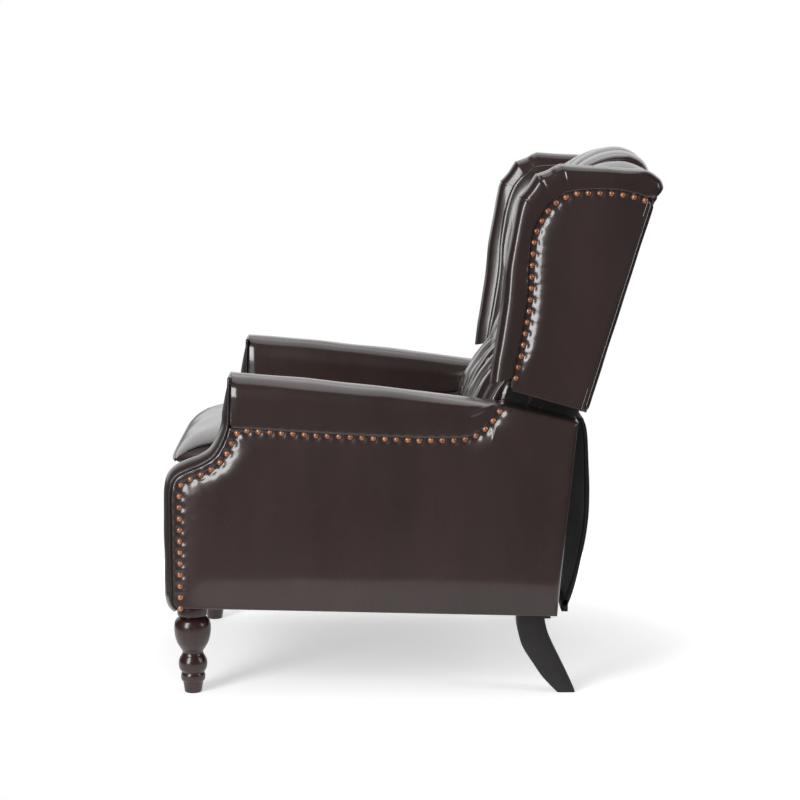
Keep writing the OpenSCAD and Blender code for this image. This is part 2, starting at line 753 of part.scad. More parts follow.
// Wings
wing_outline = concat(
    wing_nail_line,
    [leaned([post_t, wing_rear_top]), leaned([post_t, outside_low])],
    [on_wing(wing_foot_share)]
);

module wing_board(side) color(raw_wood) on_side(side) {
    side_plate(wing_board_x, board_t) polygon(wing_outline);
    in_back_frame() for (s = wing_block_shares)
        translate([post_out_x, 0, s * inside_top]) cube([wing_board_x - post_out_x, post_t, wing_block_h]);
}

module wing_outside_panel(side) color(leather) on_side(side)
    side_plate(wing_board_x + board_t, wing_panel_t) polygon(wing_outline);

module wing_inside_pad(side) color(leather) on_side(side) difference() {
    side_plate(wing_x, wing_board_x - wing_x) polygon(wing_outline);
    in_back_frame() translate([wing_x - cut, -skim, -cut])
        cube([wing_board_x - wing_x + 2 * cut, overall_d, overall_h]);
}

module wing_roll(side) {
    function ring(i) = let (a = wing_nail_line[i], b = wing_edge_line[i])
        [for (s = wing_section_shares) let (p = a + s[0] * (b - a)) [wing_x + s[1] * wing_w, p[0], p[1]]];
    color(leather) on_side(side)
        loft([for (i = [0 : len(wing_nail_line) - 1]) ring(i)]);
}

module wing_nails(side) color(bronze) on_side(side) {
    line = [for (i = [0 : len(wing_nail_line) - 1])
        wing_nail_line[i] + (nail_d / 2 + skim) * right_of(wing_nail_line, i)];
    nail_row(wing_board_x + board_t + wing_panel_t, line);
}

// Steel hinge plates on the posts, and the lugs that carry the flap's rod
module back_brackets() color(steel) both_sides() {
    difference() {
        side_plate(layer_x(3), plate_t)
            bar_outline(hinge_pin, leaned([post_t / 2, bracket_l]), bracket_r);
        bore(hinge_pin, 3, pin_r + pin_fit);
    }
    difference() {
        union() {
            pin(flap_pin, lug_x - lug_t / 2, lug_x + lug_t / 2, lug_r);
            in_back_frame() translate([lug_x - lug_t / 2, post_t, bottom_rail_z])
                cube([lug_t, plate_t, bottom_rail_h + 2 * plate_t]);
        }
        pin(flap_pin, lug_x - lug_t, lug_x + lug_t, flap_rod_r + pin_fit);
    }
}

// Flap that hangs behind the seat from a rod across the back frame
module back_flap() color(leather) {
    behind = [for (s = flap_shares) flap_pin + [flap_rod_r + s[0] * flap_bow, -s[1] * flap_h]];
    difference() {
        side_plate(-flap_x, 2 * flap_x)
            polygon(concat(behind, reversed([for (p = behind) p - [flap_t, 0]])));
        both_sides() pin(flap_pin, lug_x - lug_t / 2 - lug_gap, lug_x + lug_t / 2 + lug_gap, lug_r + lug_notch);
    }
    pin(flap_pin, -flap_x, flap_x, flap_rod_r);
}

module flap_hem() color(black_cloth) {
    low = flap_pin + [flap_rod_r + flap_shares[8][0] * flap_bow - flap_t, -flap_shares[8][1] * flap_h - hem_h];
    translate([-flap_x, low[0], low[1]]) cube([2 * flap_x, flap_t, hem_h]);
}

// Footrest
module footrest_board() color(raw_wood)
    translate([-footrest_x, board_back_y - footrest_board_t, footrest_low_z])
        cube([2 * footrest_x, footrest_board_t, footrest_h]);

footrest_shares = [
    [0, 0], [0, 1], [0.45, 1], [0.75, 0.97], [0.9, 0.92], [0.97, 0.82], [1, 0.66], [1, 0.5],
    [1, 0.34], [0.97, 0.18], [0.9, 0.08], [0.75, 0.03], [0.45, 0]
];
module footrest_pad() {
    steps = 16;
    y = board_back_y - footrest_board_t;
    function ring(i) = let (
        s = 2 * i / steps - 1,
        puff = 1 - 0.30 * pow(abs(s), 6)
    ) [for (q = footrest_shares) [footrest_x * s, y - q[0] * footrest_pad_t * puff,
        footrest_low_z + q[1] * footrest_h]];
    color(leather) loft([for (i = [0 : steps]) reversed(ring(i))]);
}

module footrest_brackets() color(steel) both_sides() {
    foot = [board_back_y, outer_tip[1] - bracket_flange_l / 2];
    difference() {
        union() {
            side_plate(layer_x(5), plate_t) {
                bar_outline(outer_tip, horn_pin, link_r + eye_extra / 2);
                translate(outer_tip) circle(link_r + eye_extra);
                polygon([foot, outer_tip - [0, link_r + eye_extra], outer_tip + [0, link_r + eye_extra],
                    foot + [0, bracket_flange_l]]);
            }
            translate([layer_x(5) + plate_t - bracket_flange_w, foot[0], foot[1]])
                cube([bracket_flange_w, plate_t / 2, bracket_flange_l]);
        }
        bore(outer_tip, 5, rod_r + pin_fit);
    }
    pin(horn_pin, layer_x(6) - head_gap, layer_x(5), pin_r);
    head_inside(horn_pin, 6);
}

// Cranked links on the drive tube, which is the axis that joins the two sides
module footrest_inner_links() color(steel) {
    both_sides() {
        difference() {
            side_plate(layer_x(3), plate_t) {
                bar_outline(drive_pin, inner_elbow, link_r + eye_extra);
                bar_outline(inner_elbow, crank_pin, link_r);
            }
            bore(drive_pin, 3, drive_tube_r + pin_fit);
        }
        pin(inner_elbow, layer_x(4) - head_gap, layer_x(3), pin_r);
        head_inside(inner_elbow, 4);
        pin(crank_pin, layer_x(6) - head_gap, layer_x(3), pin_r);
        head_inside(crank_pin, 6);
    }
    pin(drive_pin, -layer_x(2) - plate_t, layer_x(2) + plate_t, drive_tube_r);
}

module footrest_control_links() color(steel) both_sides() difference() {
    side_plate(layer_x(3), plate_t) bar_outline(control_pin, control_elbow, link_r);
    bore(control_pin, 3, pin_r + pin_fit);
    bore(control_elbow, 3, pin_r + pin_fit);
}

module footrest_outer_links() color(steel) {
    both_sides() {
        difference() {
            side_plate(layer_x(4), plate_t) bar_outline(inner_elbow, outer_tip, link_r);
            bore(inner_elbow, 4, pin_r + pin_fit);
            bore(outer_tip, 4, rod_r + pin_fit);
        }
        pin(control_elbow, layer_x(4) + plate_t, layer_x(3) + plate_t + head_gap, pin_r);
        pin(control_elbow, layer_x(3) + plate_t + head_gap, layer_x(3) + plate_t + head_gap + head_t, head_r);
    }
    pin(outer_tip, -layer_x(4) - plate_t, layer_x(4) + plate_t, rod_r);
}

module footrest_couplers() color(steel) both_sides() difference() {
    side_plate(layer_x(6), plate_t) bar_outline(crank_pin, horn_pin, link_r);
    bore(crank_pin, 6, pin_r + pin_fit);
    bore(horn_pin, 6, pin_r + open_pivot_gap);
}

arm_board(1);  // arm_board_right
arm_board(-1);  // arm_board_left
arm_inside_panel(1);  // arm_inside_panel_right
arm_inside_panel(-1);  // arm_inside_panel_left
arm_outside_panel(1);  // arm_outside_panel_right
arm_outside_panel(-1);  // arm_outside_panel_left
arm_roll(1);  // arm_roll_right
arm_roll(-1);  // arm_roll_left
arm_front_pad(1);  // arm_front_pad_right
arm_front_pad(-1);  // arm_front_pad_left
arm_welts(1);  // arm_welts_right
arm_welts(-1);  // arm_welts_left
arm_nails(1);  // arm_nails_right
arm_nails(-1);  // arm_nails_left
front_leg(1);  // front_leg_right
front_leg(-1);  // front_leg_left
rear_leg(1);  // rear_leg_right
rear_leg(-1);  // rear_leg_left
base_front_rail();
base_rear_rail();
corner_blocks();
base_plates();
front_swing_links();
rear_swing_links();
seat_plate(1);  // seat_plate_right
seat_plate(-1);  // seat_plate_left
seat_side_rails();
seat_front_rail();
seat_rear_rail();
seat_springs();
seat_deck();
seat_cushion();
back_posts();
back_top_rail();
back_bottom_rail();
back_straps();
inside_back();
back_buttons();
outside_back();
crown();
wing_board(1);  // wing_board_right
wing_board(-1);  // wing_board_left
wing_outside_panel(1);  // wing_outside_panel_right
wing_outside_panel(-1);  // wing_outside_panel_left
wing_roll(1);  // wing_roll_right
wing_roll(-1);  // wing_roll_left
wing_inside_pad(1);  // wing_inside_pad_right
wing_inside_pad(-1);  // wing_inside_pad_left
wing_nails(1);  // wing_nails_right
wing_nails(-1);  // wing_nails_left
back_brackets();
back_flap();
flap_hem();
footrest_board();
footrest_pad();
footrest_brackets();
footrest_inner_links();
footrest_control_links();
footrest_outer_links();
footrest_couplers();
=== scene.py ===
# Wingback recliner: finished leather, nails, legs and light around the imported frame.
# Lengths are millimetres in the values and metres in the meshes. The chair faces -Y.
import math

import bmesh
import bpy
import numpy as np
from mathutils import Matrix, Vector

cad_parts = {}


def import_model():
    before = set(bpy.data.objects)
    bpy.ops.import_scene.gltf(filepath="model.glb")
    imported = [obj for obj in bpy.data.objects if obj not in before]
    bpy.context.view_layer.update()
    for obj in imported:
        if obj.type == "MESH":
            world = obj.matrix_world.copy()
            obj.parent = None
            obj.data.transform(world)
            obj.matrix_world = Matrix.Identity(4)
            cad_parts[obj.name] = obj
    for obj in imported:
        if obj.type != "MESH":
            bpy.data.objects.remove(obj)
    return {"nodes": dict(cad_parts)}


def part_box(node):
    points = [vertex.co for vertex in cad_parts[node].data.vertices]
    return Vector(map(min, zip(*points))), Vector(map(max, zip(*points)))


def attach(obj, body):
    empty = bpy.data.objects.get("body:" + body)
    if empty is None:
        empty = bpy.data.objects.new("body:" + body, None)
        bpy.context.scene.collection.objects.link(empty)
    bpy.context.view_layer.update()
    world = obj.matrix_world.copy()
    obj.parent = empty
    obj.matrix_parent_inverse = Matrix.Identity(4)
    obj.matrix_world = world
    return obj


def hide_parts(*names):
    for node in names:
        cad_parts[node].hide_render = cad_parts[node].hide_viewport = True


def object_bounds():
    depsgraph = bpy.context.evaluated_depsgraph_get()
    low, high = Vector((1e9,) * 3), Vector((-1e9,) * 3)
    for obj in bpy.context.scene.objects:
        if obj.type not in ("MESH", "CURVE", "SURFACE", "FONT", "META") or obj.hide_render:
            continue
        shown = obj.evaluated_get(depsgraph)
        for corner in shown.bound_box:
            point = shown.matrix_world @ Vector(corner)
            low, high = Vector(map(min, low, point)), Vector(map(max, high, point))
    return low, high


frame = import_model()
cad_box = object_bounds()
nodes = frame["nodes"]

MM = 0.001
SIDES = {"right": 1, "left": -1}


def corners(node):
    """The low and the high corner of a node's box."""
    return [np.array(corner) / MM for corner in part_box(node)]


# Sizes that the frame's nodes give
ARM_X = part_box("arm_inside_panel_right")[0].x / MM
ARM_OUT_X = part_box("arm_outside_panel_right")[1].x / MM
ROLL_OUT_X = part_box("arm_roll_right")[1].x / MM
FRONT_LEG_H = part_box("front_leg_right")[1].z / MM
REAR_LEG_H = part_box("rear_leg_right")[1].z / MM
OVERALL_D = (cad_box[1][1] - cad_box[0][1]) / MM
OVERALL_H = (cad_box[1][2] - cad_box[0][2]) / MM
CUSHION_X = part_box("seat_cushion")[1].x / MM

# Arm outlines as shares of the arm's sizes
WELT_D = 7.0
# Radius of the thin piping on the outside back, and of the dark lines in the crown's valleys that stand in
# for the shade there (painted shade)
PIPING_AND_SHADE_LINE_R = 2.6
PAD_CROWN = 11.0
ARM_H = 609.0
ARM_SETBACK = 112.0
ARM_REAR_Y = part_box("arm_outside_panel_right")[1].y / MM
ARM_FRONT_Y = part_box("arm_outside_panel_right")[0].y / MM
ARM_REAR_LEAN = 36.0
ARM_FRONT_SHARES = [
    (0, 0.34), (0, 0.45), (0, 0.55), (0, 0.62), (0.015, 0.65), (0.05, 0.672), (0.13, 0.688),
    (0.30, 0.703), (0.50, 0.718), (0.69, 0.740), (0.81, 0.768), (0.90, 0.802), (0.96, 0.836),
]
ARM_FRONT_TOP_SHARES = [(0.98, 0.87), (0.985, 0.93), (0.995, 0.965), (1, 0.985)]
ARM_TOP_SHARES = [(0, 0.997), (0.205, 0.978), (0.49, 0.946), (0.73, 0.912), (0.777, 0.904), (1, 0.85)]
ROLL_LOW_SHARES = [
    (0, 0.838), (0.12, 0.830), (0.24, 0.822), (0.40, 0.812), (0.54, 0.806), (0.65, 0.806),
    (0.685, 0.811), (0.715, 0.828), (0.74, 0.853), (0.765, 0.89),
]
ROLL_FRONT_Y = ARM_FRONT_Y + ARM_SETBACK
ROLL_RUN = ARM_REAR_Y - ROLL_FRONT_Y


def on_arm_front(share):
    return (ARM_FRONT_Y + share[0] * ARM_SETBACK, share[1] * ARM_H)


def on_arm_top(share):
    return (ROLL_FRONT_Y + share[0] * ROLL_RUN, share[1] * ARM_H)


# Lines and fields
def unit(value):
    """The value held between 0 and 1."""
    return np.clip(value, 0, 1)


def angles(count):
    """A full turn in even steps."""
    return np.linspace(0, 2 * math.pi, count, endpoint=False)


def smooth_line(points, count):
    """A smooth curve through the points, as count points at even spacing."""
    p = np.array(points, float)
    ends = np.vstack([2 * p[0] - p[1], p, 2 * p[-1] - p[-2]])
    fine = []
    for i in range(len(p) - 1):
        a, b, c, d = ends[i:i + 4]
        t = np.linspace(0, 1, 24, endpoint=False)[:, None]
        fine.append(0.5 * (2 * b + (c - a) * t + (2 * a - 5 * b + 4 * c - d) * t ** 2
                           + (3 * b - a - 3 * c + d) * t ** 3))
    fine.append(p[-1:])
    return resample(np.vstack(fine), count)


def resample(line, count, shares=None):
    line = np.array(line, float)
    run = np.r_[0, np.cumsum(np.linalg.norm(np.diff(line, axis=0), axis=1))]
    at = run[-1] * (np.linspace(0, 1, count) if shares is None else np.asarray(shares))
    return np.stack([np.interp(at, run, line[:, k]) for k in range(line.shape[1])], 1)


def normals(line, sign=1):
    """Unit normals of a flat line, to the right of its way for sign 1."""
    way = np.gradient(line, axis=0)
    way /= np.linalg.norm(way, axis=1)[:, None]
    return sign * np.stack([way[:, 1], -way[:, 0]], 1)


def line_field(points, line):
    """Distance of each point to a line, and the run along the line at the nearest place."""
    shape = points.shape[:-1]
    p = points.reshape(-1, 1, 2)
    a, b = line[:-1], line[1:]
    w = b - a
    length = np.linalg.norm(w, axis=1)
    run = np.r_[0, np.cumsum(length)]
    t = unit(((p - a) * w).sum(2) / np.maximum(length ** 2, 1e-9))
    gap = np.linalg.norm(p - (a + t[..., None] * w), axis=2)
    k = gap.argmin(1)
    rows = np.arange(len(k))
    return gap[rows, k].reshape(shape), (run[k] + t[rows, k] * length[k]).reshape(shape)


def eased(count, pull=0.55):
    """Shares from 0 to 1 that crowd towards both ends."""
    t = np.linspace(0, 1, count)
    return (1 - pull) * t + pull * (0.5 - 0.5 * np.cos(math.pi * t))


def patch(left, right, low, high, rows, cols, pull=0.55, pull_across=None):
    """A grid between four edges: left and right run upward, low and high run rightward."""
    over, across = eased(rows, pull), eased(cols, pull if pull_across is None else pull_across)
    left, right = resample(left, rows, over), resample(right, rows, over)
    low, high = resample(low, cols, across), resample(high, cols, across)
    v = np.linspace(0, 1, rows)[:, None, None]
    u = np.linspace(0, 1, cols)[None, :, None]
    rules = (1 - v) * low[None] + v * high[None] + (1 - u) * left[:, None] + u * right[:, None]
    corner_part = ((1 - u) * (1 - v) * low[0] + u * (1 - v) * low[-1]
                   + (1 - u) * v * high[0] + u * v * high[-1])
    return rules - corner_part


def spread(*parts):
    """Points whose coordinates are the parts, each repeated over the grid of the others."""
    return np.stack(np.broadcast_arrays(*parts), -1)


def at_x(flat, x):
    """(y, z) points and their heights along X as (x, y, z) points."""
    return spread(x, flat[..., 0], flat[..., 1])


def mirrored(points, side):
    points = np.array(points, float)
    points[..., 0] *= side
    return points


def ripple(points, size, seed, waves=9):
    """Smooth noise of about -1 to 1, whose humps are about size across."""
    rng = np.random.default_rng(seed)
    total = np.zeros(points.shape[:-1])
    for _ in range(waves):
        way = rng.normal(size=points.shape[-1])
        way /= np.linalg.norm(way)
        total += np.sin((points @ way) * (2 * math.pi / (size * rng.uniform(0.7, 1.9)))
                        + rng.uniform(0, 2 * math.pi))
    return total / math.sqrt(waves)


# Meshes
def add_object(name, data):
    obj = bpy.data.objects.new(name, data)
    bpy.context.scene.collection.objects.link(obj)
    return obj


def link(name, points, faces, material, body):
    mesh = bpy.data.meshes.new(name)
    mesh.from_pydata((np.asarray(points) * MM).tolist(), [], faces)
    mesh.update()
    tidy = bmesh.new()
    tidy.from_mesh(mesh)
    bmesh.ops.remove_doubles(tidy, verts=tidy.verts, dist=1e-6)
    bmesh.ops.recalc_face_normals(tidy, faces=tidy.faces)
    tidy.to_mesh(mesh)
    tidy.free()
    mesh.polygons.foreach_set("use_smooth", [True] * len(mesh.polygons))
    mesh.materials.append(material)
    obj = add_object(name, mesh)
    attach(obj, body)
    return obj


def grid_faces(rows, cols, close_cols=False, start=0):
    faces = []
    for i in range(rows - 1):
        for j in range(cols if close_cols else cols - 1):
            k = (j + 1) % cols
            faces.append([start + i * cols + j, start + i * cols + k,
                          start + (i + 1) * cols + k, start + (i + 1) * cols + j])
    return faces


def shell(name, front, back, material, body):
    """A closed pad between two grids of points of one shape."""
    rows, cols = front.shape[:2]
    n = rows * cols
    faces = grid_faces(rows, cols) + [f[::-1] for f in grid_faces(rows, cols, start=n)]
    rim = ([(0, j) for j in range(cols)] + [(i, cols - 1) for i in range(1, rows)]
           + [(rows - 1, j) for j in range(cols - 2, -1, -1)] + [(i, 0) for i in range(rows - 2, 0, -1)])
    ids = [i * cols + j for i, j in rim]
    for a, b in zip(ids, ids[1:] + ids[:1]):
        faces.append([a, b, b + n, a + n])
    points = np.vstack([front.reshape(-1, 3), back.reshape(-1, 3)])
    return link(name, points, faces, material, body)


def tube_of(name, rings, material, body, cap=True):
    """A closed skin over rings of points."""
    rows, cols = rings.shape[:2]
    faces = grid_faces(rows, cols, close_cols=True)
    points = [rings.reshape(-1, 3)]
    if cap:
        base = rows * cols
        points.append(np.stack([rings[0].mean(0), rings[-1].mean(0)]))
        for j in range(cols):
            k = (j + 1) % cols
            faces.append([base, k, j])
            faces.append([base + 1, (rows - 1) * cols + j, (rows - 1) * cols + k])
    return link(name, np.vstack(points), faces, material, body)


def welt(name, line, material, body, radius=WELT_D / 2, sides=12, closed=False):
    """Round piping along a line of (x, y, z) points."""
    line = np.array(line, float)
    way = np.gradient(line, axis=0)
    if closed:
        way = np.roll(line, -1, 0) - np.roll(line, 1, 0)
    way /= np.linalg.norm(way, axis=1)[:, None]
    rings = []
    across = np.cross(way[0], [0.31, 0.27, 0.91])
    for p, w in zip(line, way):
        across = across - w * (across @ w)
        across /= np.linalg.norm(across)
        other = np.cross(w, across)
        a = angles(sides)[:, None]
        rings.append(p + radius * (np.cos(a) * across + np.sin(a) * other))
    rings = np.array(rings)
    if closed:
        rings = np.concatenate([rings, rings[:1]])
    return tube_of(name, rings, material, body, cap=not closed)


# Materials
def new_material(name):
    mat = bpy.data.materials.new(name)
    mat.use_nodes = True
    tree = mat.node_tree
    return mat, tree, tree.nodes["Principled BSDF"]


def feed(node, values):
    """Give the node's inputs plain values, or link them to outputs of other nodes."""
    for key, value in values.items():
        if isinstance(value, bpy.types.NodeSocket):
            node.id_data.links.new(value, node.inputs[key])
        else:
            node.inputs[key].default_value = value


def add_node(tree, kind, output, values, **settings):
    """One output of a new node that is fed with the values."""
    node = tree.nodes.new(kind)
    for name, value in settings.items():
        setattr(node, name, value)
    feed(node, values)
    return node.outputs[output]


def object_place(tree):
    return tree.nodes.new("ShaderNodeTexCoord").outputs["Object"]


def noise(tree, scale, detail=3.0, rough=0.55, stretch=None):
    place = object_place(tree)
    if stretch:
        place = add_node(tree, "ShaderNodeMapping", "Vector", {"Scale": stretch, "Vector": place})
    values = {"Scale": scale, "Detail": detail, "Roughness": rough, "Vector": place}
    return add_node(tree, "ShaderNodeTexNoise", "Fac", values)


def shade(shader, key, source, low, high, low_at=0.3, high_at=0.7):
    """Let a ramp between two colours or two plain values drive one input of the shader."""
    ramp = shader.id_data.nodes.new("ShaderNodeValToRGB")
    for stop, place, value in zip(ramp.color_ramp.elements, (low_at, high_at), (low, high)):
        stop.position = place
        stop.color = (*value, 1) if isinstance(value, tuple) else (value, value, value, 1)
    feed(ramp, {"Fac": source})
    feed(shader, {key: ramp.outputs["Color"]})


def bump(tree, height, strength, distance, **below):
    values = {"Strength": strength, "Distance": distance, "Height": height, **below}
    return add_node(tree, "ShaderNodeBump", "Normal", values)


def leather_material(name, dark, light, rough, grain=1.0):
    mat, tree, shader = new_material(name)
    cloud = noise(tree, 7.0, 4.0, 0.55, (1.0, 1.0, 0.35))
    shade(shader, "Base Color", cloud, dark, light, 0.05, 0.95)
    haze = noise(tree, 16.0, 3.0, 0.5, (1.0, 1.0, 0.4))
    shade(shader, "Roughness", haze, *rough, 0.05, 0.95)
    cells = add_node(tree, "ShaderNodeTexVoronoi", "Distance", {"Scale": 620.0, "Vector": object_place(tree)},
                     feature="DISTANCE_TO_EDGE")
    pebble = bump(tree, cells, 0.06 * grain, 0.0006)
    soft = bump(tree, noise(tree, 120.0, 2.0), 0.05 * grain, 0.0012, Normal=pebble)
    feed(shader, {"Normal": soft, "Specular IOR Level": 0.5, "Coat Weight": 0.7, "Coat Roughness": 0.13})
    return mat


def metal_material(name, dark, light, rough, metallic, scale, coat=0.0):
    mat, tree, shader = new_material(name)
    spots = noise(tree, scale, 4.0)
    shade(shader, "Base Color", spots, dark, light, 0.35, 0.62)
    shade(shader, "Roughness", spots, rough + 0.12, rough)
    feed(shader, {"Metallic": metallic, "Coat Weight": coat, "Coat Roughness": 0.2})
    return mat


def wood_material(name, dark, light, rough, stretch, scale, coat=0.0):
    mat, tree, shader = new_material(name)
    grain = noise(tree, scale, 6.0, 0.65, stretch)
    shade(shader, "Base Color", grain, dark, light, 0.30, 0.72)
    feed(shader, {"Normal": bump(tree, grain, 0.12, 0.0005), "Roughness": rough,
                  "Coat Weight": coat, "Coat Roughness": 0.15})
    return mat


def cloth_material(name, dark, light):
    mat, tree, shader = new_material(name)
    weave = tree.nodes.new("ShaderNodeTexBrick")
    gap = [c * 0.4 for c in dark]
    feed(weave, {"Scale": 700.0, "Color1": (*dark, 1), "Color2": (*light, 1), "Mortar": (*gap, 1),
                 "Vector": object_place(tree)})
    feed(shader, {"Base Color": weave.outputs["Color"], "Roughness": 0.8, "Sheen Weight": 0.2,
                  "Normal": bump(tree, weave.outputs["Fac"], 0.3, 0.0004)})
    return mat


LEATHER = leather_material("brown_leather", (0.015, 0.0080, 0.0072), (0.051, 0.0290, 0.0262), (0.21, 0.37))
# Dark leather for the real piping, also used for the crown's dark lines of painted shade
PIPING_AND_SHADE = leather_material("dark_piping_and_shade_lines", (0.004, 0.003, 0.003), (0.010, 0.007, 0.007), (0.38, 0.5), 0.6)
BRONZE = metal_material("bronze", (0.22, 0.080, 0.034), (0.52, 0.222, 0.108), 0.34, 0.45, 160.0, 0.7)
STEEL = metal_material("black_enamel", (0.012, 0.012, 0.013), (0.03, 0.03, 0.032), 0.38, 0.3, 60.0)
ESPRESSO = wood_material("espresso_stain", (0.016, 0.0045, 0.0045), (0.042, 0.0130, 0.0125), 0.28,
                         (6.0, 6.0, 0.8), 26.0, 0.5)
BLACK_WOOD = wood_material("black_stain", (0.004, 0.003, 0.003), (0.014, 0.010, 0.009), 0.45,
                           (5.0, 1.0, 1.0), 30.0, 0.1)
PLY = wood_material("bare_wood", (0.30, 0.19, 0.10), (0.55, 0.40, 0.25), 0.6, (1.0, 6.0, 6.0), 12.0)
CLOTH = cloth_material("black_dust_cloth", (0.008, 0.008, 0.009), (0.016, 0.016, 0.017))


def side_shell(name, flat, face_x, back_x, side, body, material=LEATHER):
    """A pad whose outline lies in the side view, between two heights along X."""
    face, back = (mirrored(at_x(flat, x), side) for x in (face_x, back_x))
    return shell(name, face, back, material, body)


# Nails: centres come from the frame's nail solids
NAIL_D = 11.0
NAIL_PITCH = 21.0
NAIL_SINK = 1.6
# From the seam to the middle of a nail
NAIL_OFF = NAIL_D / 2 + 0.3
# How the leather is drawn in at a nail, and folded between two nails
PIT_FADE = 4.5
FOLD_W, FOLD_RUN, FOLD_H = 2.6, 8.0, 0.4


def nail_places(node):
    mesh = nodes[node].data
    parts = bmesh.new()
    parts.from_mesh(mesh)
    bmesh.ops.remove_doubles(parts, verts=parts.verts, dist=1e-5)
    seen, places = set(), []
    for start in parts.verts:
        if start.index in seen:
            continue
        stack, group = [start], []
        seen.add(start.index)
        while stack:
            v = stack.pop()
            group.append(v.co)
            for e in v.link_edges:
                other = e.other_vert(v)
                if other.index not in seen:
                    seen.add(other.index)
                    stack.append(other)
        g = np.array(group) / MM
        places.append((g.min(0) + g.max(0)) / 2)
    parts.free()
    return np.array(places)


NAIL_SHARES = [
    (0, 0.305), (0.22, 0.29), (0.45, 0.255), (0.66, 0.20), (0.83, 0.125), (0.95, 0.05), (1, 0), (1, -0.06),
]


def nails(name, places, base_x, side, node, body):
    """Domed nail heads, each a little different, on the flat at base_x."""
    around = 16
    turn = angles(around)
    rng = np.random.default_rng(len(places))
    points, faces = [], []
    for place in places:
        size = NAIL_D / 2 * rng.uniform(0.97, 1.03)
        tilt = rng.uniform(-0.05, 0.05, 2)
        tip = len(points)
        points.append((base_x + 2 * size * NAIL_SHARES[0][1], place[1], place[2]))
        for r, h in NAIL_SHARES[1:]:
            y, z = size * r * np.cos(turn), size * r * np.sin(turn)
            x = base_x + 2 * size * h + tilt[0] * y + tilt[1] * z
            points.extend(spread(x, place[1] + y, place[2] + z).tolist())
        faces += [[tip, tip + 1 + k, tip + 1 + (k + 1) % around] for k in range(around)]
        faces += grid_faces(len(NAIL_SHARES) - 1, around, True, tip + 1)
        faces.append(list(range(len(points) - around, len(points))))
    obj = link(name, mirrored(points, side), faces, BRONZE, body)
    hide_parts(node)


def nail_pull(flat, places, line):
    """The dimple under each nail, the ridges between nails, and the places along and across the row."""
    near = np.full(flat.shape[:-1], 1e9)
    for place in places:
        near = np.minimum(near, np.hypot(flat[..., 0] - place[1], flat[..., 1] - place[2]))
    pit = np.exp(-(np.maximum(near - NAIL_D / 2, 0) / PIT_FADE) ** 2)
    gap, run = line_field(flat, line)
    at = np.sort(line_field(places[:, 1:], line)[1])
    step = np.interp(run, at, np.arange(len(at)))
    beyond = unit(np.maximum(at[0] - run, run - at[-1]) / FOLD_RUN)
    off = (step - np.floor(step) - 0.5) * NAIL_PITCH
    fold = np.exp(-(off / FOLD_W) ** 2) * np.exp(-(gap / FOLD_RUN) ** 2) * (1 - beyond)
    return pit, fold, step, gap, run


def ramp_up(gap, start, wide):
    """From 0 at start to 1 over the width, with soft ends."""
    t = unit((gap - start) / wide)
    return t * t * (3 - 2 * t)


def soften(field, weight, rounds=36):
    """Round off creases of a field on a grid where the weight is high."""
    for _ in range(rounds):
        full = np.pad(field, 1, mode="edge")
        mean = (full[:-2, 1:-1] + full[2:, 1:-1] + full[1:-1, :-2] + full[1:-1, 2:]) / 4
        field = field + weight * (mean - field)
    return field


def drawn(high, wide, common, gap, step, hold):
    """A padded panel's rise from a nail row: steeper beside the row, and the same height further in."""
    rise = ramp_up(gap - 0.6 * np.cos(2 * math.pi * step), 2.0, wide)
    local = (high - common) * np.exp(-(np.clip(gap - wide, 0, None) / 26.0) ** 2)
    return soften((common + local) * rise * hold, ramp_up(gap, 7.0, 16.0))


def pucker(run, gap, seed):
    """Small uneven folds that run out from a nail row."""
    folds = ripple(spread(run / 14.0, gap / 34.0), 1.0, seed)
    return folds * np.exp(-gap / 24.0) * unit(gap / 8.0)


def along_row(table, run, line):
    """Read the table along the nail row: each line of it holds y, z and then values for that place."""
    table = np.array(table)
    turns = line_field(table[:, :2], line)[1]
    return turns, [np.interp(run, turns, column) for column in table[:, 2:].T]


EDGE_R, FOOT_R = 7.0, 2.0


def round_edge(puff, edge, foot_edge):
    """Turn a panel's face in over its free edges, with a tighter turn along its foot."""
    radius = FOOT_R + (EDGE_R - FOOT_R) * ramp_up(foot_edge, 4.0, 30.0)
    inside = np.clip(radius - edge, 0, radius)
    return puff - radius + np.sqrt(np.maximum(radius ** 2 - inside ** 2, 0))


# Arms
ARM_FOOT = [
    (ARM_FRONT_Y + 10, FRONT_LEG_H), (ARM_FRONT_Y + 3, FRONT_LEG_H + 7), (ARM_FRONT_Y, FRONT_LEG_H + 20),
]
ARM_LEFT = smooth_line(ARM_FOOT + [on_arm_front(s) for s in ARM_FRONT_SHARES], 400)
ARM_WELT = smooth_line(ARM_FOOT + [on_arm_front(s) for s in ARM_FRONT_SHARES + ARM_FRONT_TOP_SHARES], 240)
ROLL_LOW = smooth_line([on_arm_top(s) for s in ROLL_LOW_SHARES], 300)
ARM_TOP = smooth_line([on_arm_top(s) for s in ARM_TOP_SHARES], 300)
ARM_BEYOND = ARM_TOP[ARM_TOP[:, 0] > ROLL_LOW[-1][0] + 2]
ARM_HIGH = np.vstack([ROLL_LOW, ARM_BEYOND])
ARM_REAR = np.array([(ARM_REAR_Y - ARM_REAR_LEAN, REAR_LEG_H), on_arm_top(ARM_TOP_SHARES[-1])])
ARM_LOW = np.array([ARM_FOOT[0], ARM_REAR[0]])
ARM_INNER_T = 24.0
NAIL_INSET = 14.0
